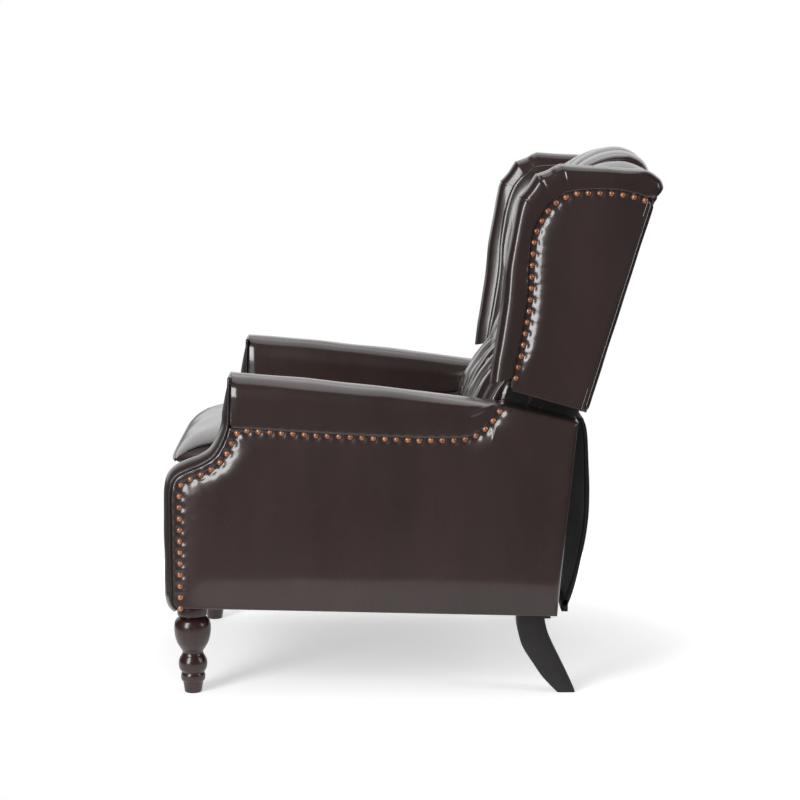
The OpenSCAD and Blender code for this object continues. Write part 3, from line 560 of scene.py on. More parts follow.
# Places near the nail row, as y and z, with the panel's rise, its width and the flat beside the seam
ARM_PUFFS = [
    (150, 535, 6.5, 23, 6), (125, 505, 6.0, 24, 6), (60, 490, 3.0, 34, 6), (-250, 508, 3.0, 32, 6),
    (-285, 510, 5.0, 28, 6), (-330, 482, 6.0, 26, 8), (-360, 450, 7.4, 25, 12), (-405, 405, 7.6, 26, 14),
    (-428, 380, 4.8, 34, 14), (-429, 300, 4.2, 38, 14),
]
REAR_CREASE = smooth_line([(108, 534), (120, 538), (132, 544), (143, 549), (150, 556)], 40)
ROLL_SECTION = [
    (0, 0), (0, 0.28), (0, 0.50), (0.015, 0.66), (0.06, 0.80), (0.15, 0.91), (0.30, 0.978), (0.46, 1.0),
    (0.60, 0.99), (0.73, 0.955), (0.845, 0.89), (0.935, 0.80), (0.980, 0.70), (0.996, 0.61), (0.990, 0.52),
    (0.978, 0.42), (0.965, 0.31), (0.951, 0.20), (0.937, 0.10), (0.925, 0.025), (0.912, -0.005),
    (0.88, -0.02), (0.80, 0.0), (0.4, 0),
]


def arm_nail_line():
    across = ROLL_LOW + NAIL_OFF * normals(ROLL_LOW)
    down = ARM_LEFT[::-1] + NAIL_INSET * normals(ARM_LEFT[::-1], -1)
    across = across[across[:, 0] > down[0][0] + 2][::-1]
    down = down[down[:, 1] < across[-1][1] - 2]
    return resample(np.vstack([across, down]), 420)


ARM_NAIL_LINE = arm_nail_line()


def arm_side(side, word):
    flat = patch(ARM_LEFT, ARM_REAR, ARM_LOW, ARM_HIGH, 130, 210, 0.55, 0.3)
    places = nail_places(f"arm_nails_{word}")
    pit, fold, step, gap, run = nail_pull(flat, places, ARM_NAIL_LINE)
    edge = line_field(flat, np.vstack([ARM_LOW, ARM_REAR[1:], ARM_BEYOND[::-1]]))[0]
    foot_edge = line_field(flat, ARM_LOW)[0]
    seam = line_field(flat, np.vstack([ARM_LEFT, ROLL_LOW]))[0]
    turns, (high, wide, inset) = along_row(ARM_PUFFS, run, ARM_NAIL_LINE)
    inner = unit((seam - inset + 2) / 4)
    front = unit((run - turns[3]) / 20)
    puff = drawn(high, wide, 5.0, gap, step, inner)
    puff += 1.8 * np.sin(math.pi * unit(seam / inset)) * (1 - inner) * front
    puff += 0.06 * high * pucker(run, gap, 5) * inner - NAIL_SINK * pit + FOLD_H * fold * (0.3 + 0.7 * inner)
    puff += 0.45 * ripple(flat, 190.0, 11) + 0.03 * ripple(flat * [1, 0.3], 26.0, 12)
    puff *= unit(edge / 12.0) * ramp_up(foot_edge, -4.0, 75.0)
    face_x = ARM_OUT_X - 0.6 + round_edge(puff, edge, foot_edge)
    obj = side_shell(f"arm_side_leather_{word}", flat, face_x, ARM_X + ARM_INNER_T, side, "base")
    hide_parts(f"arm_outside_panel_{word}", f"arm_board_{word}")
    nails(f"arm_nail_heads_{word}", places, ARM_OUT_X - NAIL_SINK, side, f"arm_nails_{word}", "base")


def arm_inside(side, word):
    flat = patch(ARM_LEFT, ARM_REAR, ARM_LOW, ARM_HIGH, 40, 60)
    edge = line_field(flat, np.vstack([ARM_LEFT[::-1], ARM_LOW, ARM_REAR[1:], ARM_HIGH[::-1]]))[0]
    face_x = ARM_X + 4.0 - 4.0 * np.sqrt(unit(edge / 14.0))
    obj = side_shell(f"arm_inside_leather_{word}", flat, face_x, ARM_X + ARM_INNER_T - 0.5, side, "base")
    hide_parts(f"arm_inside_panel_{word}")


def arm_roll(side, word):
    """The padded top of the arm, whose skin runs on down to the nails."""
    end_y = ROLL_LOW[-1][0] + 6
    y = (ROLL_FRONT_Y + eased(230, 0.5) * (end_y - ROLL_FRONT_Y))[:, None]
    low = np.interp(y, ROLL_LOW[:, 0], ROLL_LOW[:, 1])
    tall = np.maximum(np.interp(y, ARM_TOP[:, 0], ARM_TOP[:, 1]) - low, 4.0)
    across, up = smooth_line(ROLL_SECTION + ROLL_SECTION[:1], 133)[:-1].T[:, None]
    outer = unit((across - 0.80) / 0.08)
    tuck = 1 - unit((end_y - y) / 170.0) ** 0.55
    swell = unit((across - 0.88) / 0.12) * (ROLL_OUT_X - ARM_OUT_X)
    x = ARM_X + across * (ROLL_OUT_X - ARM_X) - tuck * swell
    z = low + tall * up * np.where(up < 0, 95.0 / tall, 1)
    flat = spread(y, z)
    pit, fold = nail_pull(flat, nail_places(f"arm_nails_{word}"), ARM_NAIL_LINE)[:2]
    x = x - (0.3 * NAIL_SINK * pit - FOLD_H * fold) * outer * unit(1.0 - up * 2.4)
    pinch = 3.2 * (1 - ramp_up(y - ROLL_FRONT_Y, -4.0, 17.0))
    x += pinch * unit((0.3 - across) / 0.3)
    x -= pinch * unit((across - 0.7) / 0.3) * unit(up * 2)
    ridge, along = line_field(flat, REAR_CREASE)
    crease = np.exp(-(ridge / 3.2) ** 2) * unit((along + 6) / 26.0)
    below = np.exp(-(line_field(flat + [-3, 7], REAR_CREASE)[0] / 4.0) ** 2)
    x += (1.9 * crease - 1.2 * below) * outer
    x += 0.4 * ripple(spread(y / 2.5, z), 70.0, 3) * unit((across - 0.8) / 0.1)
    z += 0.5 * ripple(spread(y, x * 2), 110.0, 4) * unit(up * 2 - 1)
    obj = tube_of(f"arm_roll_leather_{word}", mirrored(spread(x, y, z), side), LEATHER, "base")
    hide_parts(f"arm_roll_{word}")


def arm_front(side, word):
    """The crowned front pad with its piping, which runs up, over the top and down again."""
    line = ARM_WELT[::-1]
    y, z = line.T[..., None]
    out_y, out_z = normals(line).T[..., None]
    s = eased(28, 0.6)
    x0, x1 = ARM_X + WELT_D * 0.6, ARM_OUT_X - WELT_D * 0.6
    x = x0 + (x1 - x0) * s
    crown_share = np.sin(math.pi * s) ** 0.62
    end = unit(np.arange(len(line)) / 34.0)[:, None] ** 0.8
    high = WELT_D * 0.45 + (WELT_D / 2 + PAD_CROWN - 0.2) * crown_share * end
    high += 0.4 * ripple(spread(y, z + 60 * s), 70.0, 21) * crown_share
    front = mirrored(spread(x, y + out_y * high, z + out_z * high), side)
    obj = shell(f"arm_front_leather_{word}", front, mirrored(spread(x, y, z), side), LEATHER, "base")
    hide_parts(f"arm_front_pad_{word}")
    r = WELT_D / 2
    run = ARM_WELT + r * normals(ARM_WELT, -1)
    inner, outer = ARM_X + r, ARM_OUT_X - r
    bend = np.linspace(0, 1, 14)[1:-1]
    top = run[-1] + [1.0, -1.5]
    over = spread(outer + (inner - outer) * bend, top[0], top[1] + 3.0 * np.sin(math.pi * bend))
    path = np.vstack([at_x(run, outer), over, at_x(run[::-1], inner)])
    piping = welt(f"arm_piping_{word}", mirrored(resample(path, 420), side), PIPING_AND_SHADE, "base")
    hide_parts(f"arm_welts_{word}")


for word, side in SIDES.items():
    arm_side(side, word)
    arm_inside(side, word)
    arm_roll(side, word)
    arm_front(side, word)


# Legs
LEG_SHARES = [
    (0.42, 0), (0.47, 0.012), (0.50, 0.05), (0.545, 0.11), (0.56, 0.128), (0.62, 0.133),
    (0.66, 0.155), (0.665, 0.185), (0.64, 0.215), (0.60, 0.226), (0.66, 0.24), (0.74, 0.27),
    (0.78, 0.315), (0.76, 0.36), (0.68, 0.40), (0.59, 0.43), (0.565, 0.455), (0.60, 0.475),
    (0.68, 0.50), (0.84, 0.555), (0.945, 0.62), (0.99, 0.68), (1, 0.73), (0.975, 0.775),
    (0.90, 0.815), (0.74, 0.842), (0.62, 0.85), (0.70, 0.856), (0.81, 0.87), (0.83, 0.92),
    (0.82, 0.97), (0.80, 1),
]
REAR_FRONT_SHARES = [
    (0.01, 1), (0.01, 0.85), (0.07, 0.65), (0.14, 0.53), (0.30, 0.35), (0.43, 0.21), (0.55, 0.11), (0.70, 0),
]
REAR_BACK_SHARES = [
    (0.47, 1), (0.48, 0.9), (0.53, 0.75), (0.60, 0.62), (0.72, 0.44), (0.86, 0.23), (0.99, 0.02), (0.99, 0),
]
REAR_HALF_SHARES = [
    (0, 0.08), (0.025, 0.02), (0.08, 0), (0.5, 0), (0.92, 0), (0.975, 0.02), (1, 0.08), (1, 0.5),
]


def front_leg(word):
    low, high = corners(f"front_leg_{word}")
    middle, radius = (low + high) / 2, (high[0] - low[0]) / 2
    profile = smooth_line([(r * radius, h * FRONT_LEG_H) for r, h in LEG_SHARES], 150)
    r, h = np.vstack([[(0.01, 0)], profile, [(0.01, FRONT_LEG_H)]]).T[..., None]
    turn = angles(64)
    rings = spread(middle[0] + r * np.cos(turn), middle[1] + r * np.sin(turn), h)
    obj = tube_of(f"turned_leg_{word}", rings, ESPRESSO, "base")
    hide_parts(f"front_leg_{word}")


def rear_leg(word):
    low, high = corners(f"rear_leg_{word}")
    deep = high[1] - low[1]
    ahead, behind = (smooth_line([(low[1] + s * deep, h * REAR_LEG_H) for s, h in shares], 60)
                     for shares in (REAR_FRONT_SHARES, REAR_BACK_SHARES))
    s, t = np.array(REAR_HALF_SHARES + [(1 - s, 1 - t) for s, t in REAR_HALF_SHARES]).T
    y, z = (ahead[:, k:k + 1] + t * (behind - ahead)[:, k:k + 1] for k in (0, 1))
    rings = spread(low[0] + (high[0] - low[0]) * s, y, z)
    obj = tube_of(f"swept_leg_{word}", rings, BLACK_WOOD, "base")
    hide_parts(f"rear_leg_{word}")


for word in SIDES:
    front_leg(word)
    rear_leg(word)


# Wings
WING_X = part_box("wing_inside_pad_right")[0].x / MM
WING_W = 70.0
WING_OUT_X = WING_X + WING_W
WING_FACE_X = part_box("wing_outside_panel_right")[1].x / MM
WING_FRONT_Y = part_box("wing_roll_right")[0].y / MM
WING_D = OVERALL_D / 2 - WING_FRONT_Y
WING_ARM_GAP = 20.0
WING_DROP = 23.0
WING_LOW_Z = ARM_H * ARM_TOP_SHARES[-1][1] + WING_ARM_GAP
WING_H = OVERALL_H - WING_DROP - WING_LOW_Z
# Shares of the wing's depth and height: first of a place on its edge, then of its place on the nail seam
WING_PAIRS = [
    (0, 0.109, 0.131, 0.136), (0.016, 0.205, 0.150, 0.195), (0.032, 0.272, 0.170, 0.258),
    (0.051, 0.361, 0.192, 0.348), (0.067, 0.439, 0.207, 0.425), (0.076, 0.506, 0.217, 0.497),
    (0.086, 0.584, 0.220, 0.586), (0.108, 0.673, 0.229, 0.668), (0.124, 0.735, 0.240, 0.722),
    (0.143, 0.813, 0.266, 0.768), (0.162, 0.871, 0.307, 0.815), (0.210, 0.920, 0.331, 0.840),
    (0.264, 0.963, 0.362, 0.857), (0.330, 0.986, 0.400, 0.874), (0.403, 1.003, 0.443, 0.889),
    (0.573, 0.998, 0.573, 0.900), (0.748, 0.987, 0.730, 0.897), (0.894, 0.979, 0.845, 0.881),
    (0.970, 0.950, 0.884, 0.872), (0.995, 0.927, 0.893, 0.868), (1.0, 0.904, 0.898, 0.864),
    (0.980, 0.880, 0.900, 0.860), (0.955, 0.868, 0.902, 0.857),
]
WING_FOOT_SHARE = (0.131, 0.078)
# Places near the nail row, with the panel's rise and its width there
WING_PUFFS = [
    (0.131, 0.136, 5.0, 22), (0.17, 0.26, 7.8, 26), (0.225, 0.66, 8.0, 27), (0.30, 0.81, 7.2, 26),
    (0.385, 0.869, 4.6, 26), (0.80, 0.888, 3.8, 26),
]
WING_SECTION = [
    (-0.08, 0.01), (0.0, 0.02), (0.20, 0.055), (0.40, 0.10), (0.60, 0.15), (0.80, 0.215), (0.92, 0.29),
    (0.985, 0.40), (1.01, 0.52), (1.0, 0.66), (0.93, 0.83), (0.78, 0.955), (0.60, 0.995), (0.45, 1.0),
    (0.30, 0.985), (0.16, 0.97), (0.07, 0.955), (0.02, 0.925), (-0.02, 0.87), (-0.06, 0.80),
]
BACK_LEAN = math.radians(17.0)
POST_FOOT = np.array([225.0, 352.0])
POST_T = 30.0
OUTSIDE_LOW = 204.0
WING_REAR_TOP = 590.0


def leaned(back, up):
    """A place in the back frame, as (y, z)."""
    back, up = np.asarray(back, float), np.asarray(up, float)
    return np.stack([POST_FOOT[0] + back * math.cos(BACK_LEAN) + up * math.sin(BACK_LEAN),
                     POST_FOOT[1] + up * math.cos(BACK_LEAN) - back * math.sin(BACK_LEAN)], -1)


def on_wing(share):
    return (WING_FRONT_Y + share[0] * WING_D, WING_LOW_Z + share[1] * WING_H)


WING_STATIONS = 320
WING_LINES = smooth_line([(*on_wing(s[:2]), *on_wing(s[2:])) for s in WING_PAIRS], WING_STATIONS)
WING_EDGE, WING_SEAM = WING_LINES[:, :2], WING_LINES[:, 2:]
WING_NAIL_LINE = WING_SEAM + NAIL_OFF * normals(WING_SEAM)


def station(share):
    """The wing station whose edge is nearest to the share."""
    return int(np.linalg.norm(WING_EDGE - on_wing(share), axis=1).argmin())


WING_TURN = station((0.403, 1.003))
PLEAT_RUNS = [station(s) / (WING_STATIONS - 1) for s in ((0.162, 0.871), (0.264, 0.963), (0.403, 1.003))]
PLEAT_SAGS = [3.6, 3.6, 1.6]


def wing_panel(side, word):
    foot = np.array(on_wing(WING_FOOT_SHARE))
    left = np.vstack([foot, WING_SEAM[:WING_TURN]])
    right = leaned(POST_T + 10, [OUTSIDE_LOW - 2, WING_REAR_TOP + 6])
    high = np.vstack([WING_SEAM[WING_TURN - 1:], right[-1:]])
    low = np.stack([foot, right[0]])
    flat = patch(left, right, low, high, 120, 90, 0.4)
    places = nail_places(f"wing_nails_{word}")
    pit, fold, step, gap, run = nail_pull(flat, places, WING_NAIL_LINE)
    free = np.vstack([low, right[1:]])
    seam, edge, foot_edge, rear_edge = (line_field(flat, line)[0] for line in (WING_SEAM, free, low, right))
    hold = unit((seam - 2) / 8.0)
    high, wide = along_row([(*on_wing(s), *s[2:]) for s in WING_PUFFS], run, WING_NAIL_LINE)[1]
    puff = drawn(high, wide, 6.0, gap, step, hold)
    puff += 0.065 * high * pucker(run, gap, 31) * hold - NAIL_SINK * pit + FOLD_H * fold
    puff += 0.4 * ripple(flat, 170.0, 32) + 0.03 * ripple(flat * [1, 0.3], 26.0, 33)
    puff *= ramp_up(foot_edge, -6.0, 95.0) * unit(rear_edge / 14.0)
    face_x = WING_FACE_X - 0.5 + round_edge(puff, edge, foot_edge)
    obj = side_shell(f"wing_side_leather_{word}", flat, face_x, WING_X + 18, side, "back")
    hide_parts(f"wing_outside_panel_{word}", f"wing_board_{word}")
    nails(f"wing_nail_heads_{word}", places, WING_FACE_X - NAIL_SINK, side, f"wing_nails_{word}", "back")


def wing_roll(side, word):
    """The padded edge of the wing, pleated where it turns the top front corner."""
    across, out = smooth_line(WING_SECTION, 96).T[:, None]
    run = np.linspace(0, 1, WING_STATIONS)[:, None]
    sag = 2.2 * np.exp(-unit(PLEAT_RUNS[0] - run) / 0.014) * (run < PLEAT_RUNS[0])
    for a, b, deep in zip(PLEAT_RUNS, PLEAT_RUNS[1:] + [PLEAT_RUNS[-1] + 0.12], PLEAT_SAGS):
        part = unit((run - a) / (b - a))
        sag += deep * np.sin(math.pi * part ** 0.8) ** 0.75
    wide = WING_EDGE - WING_SEAM
    grow = 1 - sag / np.linalg.norm(wide, axis=1)[:, None]
    y, z = (WING_SEAM[:, k:k + 1] + across * grow * wide[:, k:k + 1] for k in (0, 1))
    rear = np.sqrt(unit((1 - run) / 0.045))
    x = WING_X + WING_W * (0.5 + (out - 0.5) * (0.50 + 0.50 * rear))
    flat = spread(y, z)
    pit, fold, _, gap, along = nail_pull(flat, nail_places(f"wing_nails_{word}"), WING_NAIL_LINE)
    outer = unit((out - 0.6) / 0.3)
    x = x - (0.3 * NAIL_SINK * pit - FOLD_H * fold) * outer
    for at in PLEAT_RUNS:
        groove = np.exp(-((run - at - 0.003) / 0.0032) ** 2) * unit(across * 1.6)
        lap = np.exp(-unit(run - at) / 0.02) * (run > at) * unit(across)
        x += (0.7 * lap - 2.4 * groove) * outer
    x += (0.4 * ripple(flat, 80.0, 41) + 0.25 * pucker(along, gap, 42)) * outer
    obj = tube_of(f"wing_edge_leather_{word}", mirrored(spread(x, y, z), side), LEATHER, "back")
    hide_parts(f"wing_roll_{word}")


def wing_inside(side, word):
    """The inner face of the wing, a long soft bulge beside the edge roll."""
    ahead = WING_SEAM + 0.50 * (WING_EDGE - WING_SEAM)
    left = ahead[:WING_TURN]
    rear = leaned(-4, [215, WING_REAR_TOP + 5])
    high = np.vstack([ahead[WING_TURN - 1:station((0.80, 0.984))], rear[-1:]])
    low = np.stack([left[0], rear[0]])
    flat = patch(left, rear, low, high, 100, 60)
    lines = (np.vstack([left[::-1], low[1:]]), high, rear)
    edge, top, behind = (line_field(flat, line)[0] for line in lines)
    near = np.minimum(edge, 1.2 * top)
    swell = 4.0 * np.sqrt(unit(near / 6.0))
    swell += 13.0 * ramp_up(near, 3.0, 50.0) * ramp_up(behind, -30.0, 90.0)
    swell += 0.5 * ripple(flat * [1, 0.5], 60.0, 51)
    obj = side_shell(f"wing_inner_leather_{word}", flat, WING_X + 9 - swell, WING_X + 19, side, "back")
    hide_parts(f"wing_inside_pad_{word}")


for word, side in SIDES.items():
    wing_panel(side, word)
    wing_roll(side, word)
    wing_inside(side, word)


# Inside back, buttons and crown
INSIDE_T = 156.0
INSIDE_LOW = 30.0
INSIDE_TOP = 577.0
INSIDE_BACK_LOW = 62.0
STRAP_T = 2.0
TUFT_W, TUFT_H, TUFT_D = 100.0, 130.0, 20.0
CHANNEL_TOP = 0.36 * INSIDE_TOP
INSIDE_DEPTH_SHARES = [
    (0, 0.69), (0.05, 0.80), (0.10, 0.93), (0.16, 1), (0.22, 0.995), (0.28, 0.955), (0.34, 0.885),
    (0.40, 0.83), (0.46, 0.81), (0.56, 0.835), (0.66, 0.86), (0.74, 0.87), (0.85, 0.87), (0.92, 0.85),
    (0.97, 0.79), (1, 0.70),
]
INSIDE_X = CUSHION_X + 4


def inside_depth(up):
    place, depth = smooth_line(INSIDE_DEPTH_SHARES, 500).T
    return STRAP_T + INSIDE_T * np.interp((up - INSIDE_LOW) / (INSIDE_TOP - INSIDE_LOW), place, depth)


def tufting(x, up):
    """0 in a fold and 1 on a crest: diamonds above, upright channels below."""
    u, v = x / TUFT_W, (up - CHANNEL_TOP) / TUFT_H
    diamond = np.abs(np.cos(math.pi * (u + v)) * np.cos(math.pi * (u - v)))
    channel = np.abs(np.cos(math.pi * u))
    mix = unit(0.5 + (up - CHANNEL_TOP) / 26.0)
    return (1 - mix) * channel ** 0.55 + mix * np.hypot(diamond, 0.06) ** 0.36


def inside_face(x, up):
    hold = 1 - np.abs(x / INSIDE_X) ** 6
    swell = np.sin(math.pi * unit(up / INSIDE_TOP)) ** 0.7
    return 26.0 * (1 - hold) - inside_depth(up) + TUFT_D * (1 - tufting(x, up)) * hold * swell - 5.0 * hold


def inside_back():
    x = INSIDE_X * np.linspace(-1, 1, 260)
    up = np.linspace(INSIDE_LOW, INSIDE_TOP, 280)[:, None]
    grid = spread(x, up)
    low_part = (1 - ramp_up(up, 200.0, 120.0)) * np.clip(6 - 6 * np.abs(x / INSIDE_X), 0.15, 1)
    back = inside_face(x, up) + 0.6 * ripple(grid, 55.0, 61)
    back += 1.5 * ripple(grid * [1, 0.22], 26.0, 62) * low_part
    share = np.linspace(0, 1, 37)[1:]
    backs, widths = [], []
    for k in (0, -1):
        start = back[:, [k]]
        side_back = start + (-STRAP_T - 1 - start) * share
        at = spread(side_back, 0.22 * up)
        crease = np.sin(side_back * 2 * math.pi / 21.0 + 1.3 * ripple(at, 60.0, 63 - k))
        crease += 0.4 * ripple(at, 12.0, 65)
        backs.append(side_back)
        widths.append(INSIDE_X + 1.0 + 2.0 * crease * unit(share * 8) * unit((1 - share) * 3))
    back = np.hstack([backs[0][:, ::-1], back, backs[1]])
    x = np.hstack([-widths[0][:, ::-1], grid[..., 0], widths[1]])
    front = at_x(leaned(back, up), x)
    inner_x = np.clip(x, -INSIDE_X + 6, INSIDE_X - 6)
    rear = at_x(leaned(-STRAP_T, np.maximum(up, INSIDE_BACK_LOW)), inner_x)
    obj = shell("tufted_back_leather", front, rear, LEATHER, "back")
    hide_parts("inside_back")


BUTTON_PROFILE = [(9, -6), (11, -3), (11.4, 0), (10.5, 2.4), (8, 4.2), (4.5, 5.2), (1, 5.5)]


def back_buttons():
    """Covered buttons at the low points of the tufts, in staggered rows."""
    around = 20
    turn = angles(around)
    points, faces = [], []
    for row in range(5):
        for i in range(-5, 6):
            x, up = i * TUFT_W / 2, CHANNEL_TOP + row * TUFT_H / 2
            if (i + row) % 2 == 0 or abs(x) >= INSIDE_X - 20:
                continue
            start, face = len(points), inside_face(x, up) - 4.5
            for r, h in BUTTON_PROFILE:
                ring = at_x(leaned(face - h, up + r * np.cos(turn)), x - r * np.sin(turn))
                points.extend(ring.tolist())
            faces += grid_faces(len(BUTTON_PROFILE), around, True, start)
            faces.append(list(range(start, start + around))[::-1])
            faces.append(list(range(len(points) - around, len(points))))
    obj = link("back_button_leather", points, faces, LEATHER, "back")
    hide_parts("back_buttons")


CROWN_SHARES = [
    (-0.70, 0), (-0.73, 0.16), (-0.70, 0.34), (-0.58, 0.60), (-0.36, 0.86), (-0.12, 1.0),
    (0.10, 0.985), (0.24, 0.88), (0.325, 0.70), (0.365, 0.50), (0.35, 0.34), (0.34, 0.1),
]
CROWN_DEPTH = 140.0
CROWN_DROP = 46.0
# How far into the crown's valleys the dark lines of painted shade lie
CROWN_SHADE_LINE_SINK = 10.0


def crown():
    base = INSIDE_TOP + 1
    rise = (OVERALL_H - POST_FOOT[1] - 0.12 * CROWN_DEPTH * math.sin(BACK_LEAN)) / math.cos(BACK_LEAN) - base
    profile = smooth_line(CROWN_SHARES, 80)
    share = unit(profile[:, 1:] * 2.2)
    inward = profile - [-0.15, 0.25]
    inward /= np.linalg.norm(inward, axis=1)[:, None]

    def skin(drop, depth):
        """Places back and up on the crown, lowered by drop and sunk in by depth."""
        return (profile[:, :1] * CROWN_DEPTH - inward[:, :1] * depth,
                base + profile[:, 1:] * (rise - drop * share) - inward[:, 1:] * depth * share)

    half = WING_X + 4
    s = np.abs(np.linspace(-1, 1, 380))
    x = half * np.linspace(-1, 1, 380)
    channel = np.minimum(np.round(np.abs(x) / TUFT_W), 2) * TUFT_W / half
    groove = 15.0 * (1 - np.abs(np.cos(math.pi * x / TUFT_W)) ** 0.28) * (1 - s ** 8)
    back, up = skin(CROWN_DROP * (0.45 * s ** 2.2 + 0.55 * channel ** 2.2), groove)
    front = at_x(leaned(back, up), x)
    rear = at_x(leaned(np.clip(back, -90, 28), base + 0.5), x)
    obj = shell("crown_leather", front, rear, LEATHER, "back")
    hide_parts("crown")
    # Dark tubes in the valleys between the crown's channels: painted shade that stands in for the shadow
    # there, not real seams
    for number, shade_line_x in enumerate(TUFT_W * np.array([-1.5, -0.5, 0.5, 1.5])):
        line = leaned(*skin(CROWN_DROP * (abs(shade_line_x) / half) ** 2.2, CROWN_SHADE_LINE_SINK))[:, 0]
        welt(f"crown_shade_line_{number}", at_x(line, shade_line_x)[6:-6], PIPING_AND_SHADE, "back", PIPING_AND_SHADE_LINE_R)


def side_cloth(side, word):
    """Black cloth over the rear half of the inside back's side and over the post."""
    up = np.linspace(64, 262, 40)[:, None]
    back = np.linspace(-104, POST_T + 4, 30)
    grid = spread(back, up)
    face_x = INSIDE_X + 2.0 + 0.5 * ripple(grid, 40.0, 66) + 0.4 * ripple(grid * [1, 0.35], 24.0, 67)
    side_shell(f"back_side_cloth_{word}", leaned(back, up), face_x, INSIDE_X - 12.0, side, "back",
               CLOTH)


def low_cloth():
    """Black cloth from the inside back's lower edge down behind the seat; it closes the gap when reclined."""
    y, z = smooth_line([leaned(-1.0, 66.0), leaned(4.0, 36.0), leaned(8.0, -4.0)], 24).T[..., None]
    x = (CUSHION_X - 70) * np.linspace(-1, 1, 60)
    y = y + 1.2 * ripple(spread(x, 0.4 * z), 50.0, 68)
    shell("back_low_cloth", spread(x, y, z), spread(x, y + 2.0, z), CLOTH, "back")


inside_back()
low_cloth()
back_buttons()
crown()
for word, side in SIDES.items():
    side_cloth(side, word)


# Outside back and flap
OUTSIDE_H = 402.0


def outside_back():
    half = WING_OUT_X - 6
    x = half * (2 * eased(90, 0.5) - 1)
    up = (OUTSIDE_LOW - 2 + (OUTSIDE_H + 2) * eased(80, 0.5))[:, None]
    edge = np.minimum(np.minimum(half - np.abs(x), up - OUTSIDE_LOW + 2), OUTSIDE_LOW + OUTSIDE_H - up)
    swell = 12.0 * unit(edge / 9.0) ** 0.5 + 5.0 * unit(edge / 160.0) ** 0.6
    swell += 0.5 * ripple(spread(x, up), 110.0, 71)
    front, rear = (at_x(leaned(back, up), x) for back in (POST_T + swell, POST_T - 2))
    obj = shell("outside_back_leather", front, rear, LEATHER, "back")
    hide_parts("outside_back")
    low, high = OUTSIDE_LOW + 6, OUTSIDE_LOW + OUTSIDE_H - 2
    rim = [(-half + 3, low), (-half + 3, high), (-half + 8, high + 2)]
    rim += [(-x0, up0) for x0, up0 in rim[::-1]]
    path = [(x0, *leaned(POST_T + 7, up0)) for x0, up0 in rim]
    welt("outside_back_piping", resample(path, 300), PIPING_AND_SHADE, "back", PIPING_AND_SHADE_LINE_R)


FLAP_PIN = leaned(POST_T + 10, 180)
FLAP_SHARES = [
    (0.1, 0.0), (0.55, 0.05), (0.85, 0.13), (0.97, 0.25), (1, 0.40), (0.9, 0.56), (0.05, 0.775),
    (-0.9, 0.91), (-1.6, 0.997),
]
FLAP_H, FLAP_BOW, FLAP_ROD = 360.0, 15.0, 5.0


def back_flap():
    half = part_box("back_flap")[1].x / MM
    line = [(FLAP_PIN[0] + FLAP_ROD + s * FLAP_BOW, FLAP_PIN[1] - t * FLAP_H) for s, t in FLAP_SHARES]
    y, z = smooth_line(line, 90).T[..., None]
    x = half * (2 * eased(70, 0.5) - 1)
    swell = 6.0 * (1 - (np.abs(x) / half) ** 3) * np.sin(math.pi * np.linspace(0.04, 0.96, 90))[:, None]
    swell += 0.8 * ripple(spread(x, z), 90.0, 81)
    obj = shell("flap_leather", spread(x, y + swell, z), spread(x, y + swell - 2.5, z), LEATHER, "flap")
    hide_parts("back_flap")
    outer, inner = (spread(x * 1.002, back, z) for back in (y + swell - 2.6, y - 9))
    lining = shell("flap_lining", outer, inner, CLOTH, "flap")
    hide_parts("back_flap")
    (_, y0, z0), (_, y1, z1) = corners("flap_hem")
    band = [(y0 - 0.5, z1 + 10), (y1 + 1.6, z1 + 10), (y1 + 1.6, z0 + 1), (y1, z0), (y0, z0),
            (y0 - 0.5, z0 + 1)]
    y, z = np.array(band).T
    x = np.linspace(-half - 0.5, half + 0.5, 40)[:, None]
    hem = tube_of("flap_hem_band", spread(x, y + 0.4 * np.sin(x / 13.0), z), CLOTH, "flap")
    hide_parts("flap_hem")


outside_back()
back_flap()


# Seat cushion and footrest
SEAT_H = 483.0
LIP_Z = 430.0
LIP_Y = -396.0
CUSHION_SEAM_R, NOSE_WELT_R = 2.4, 2.8


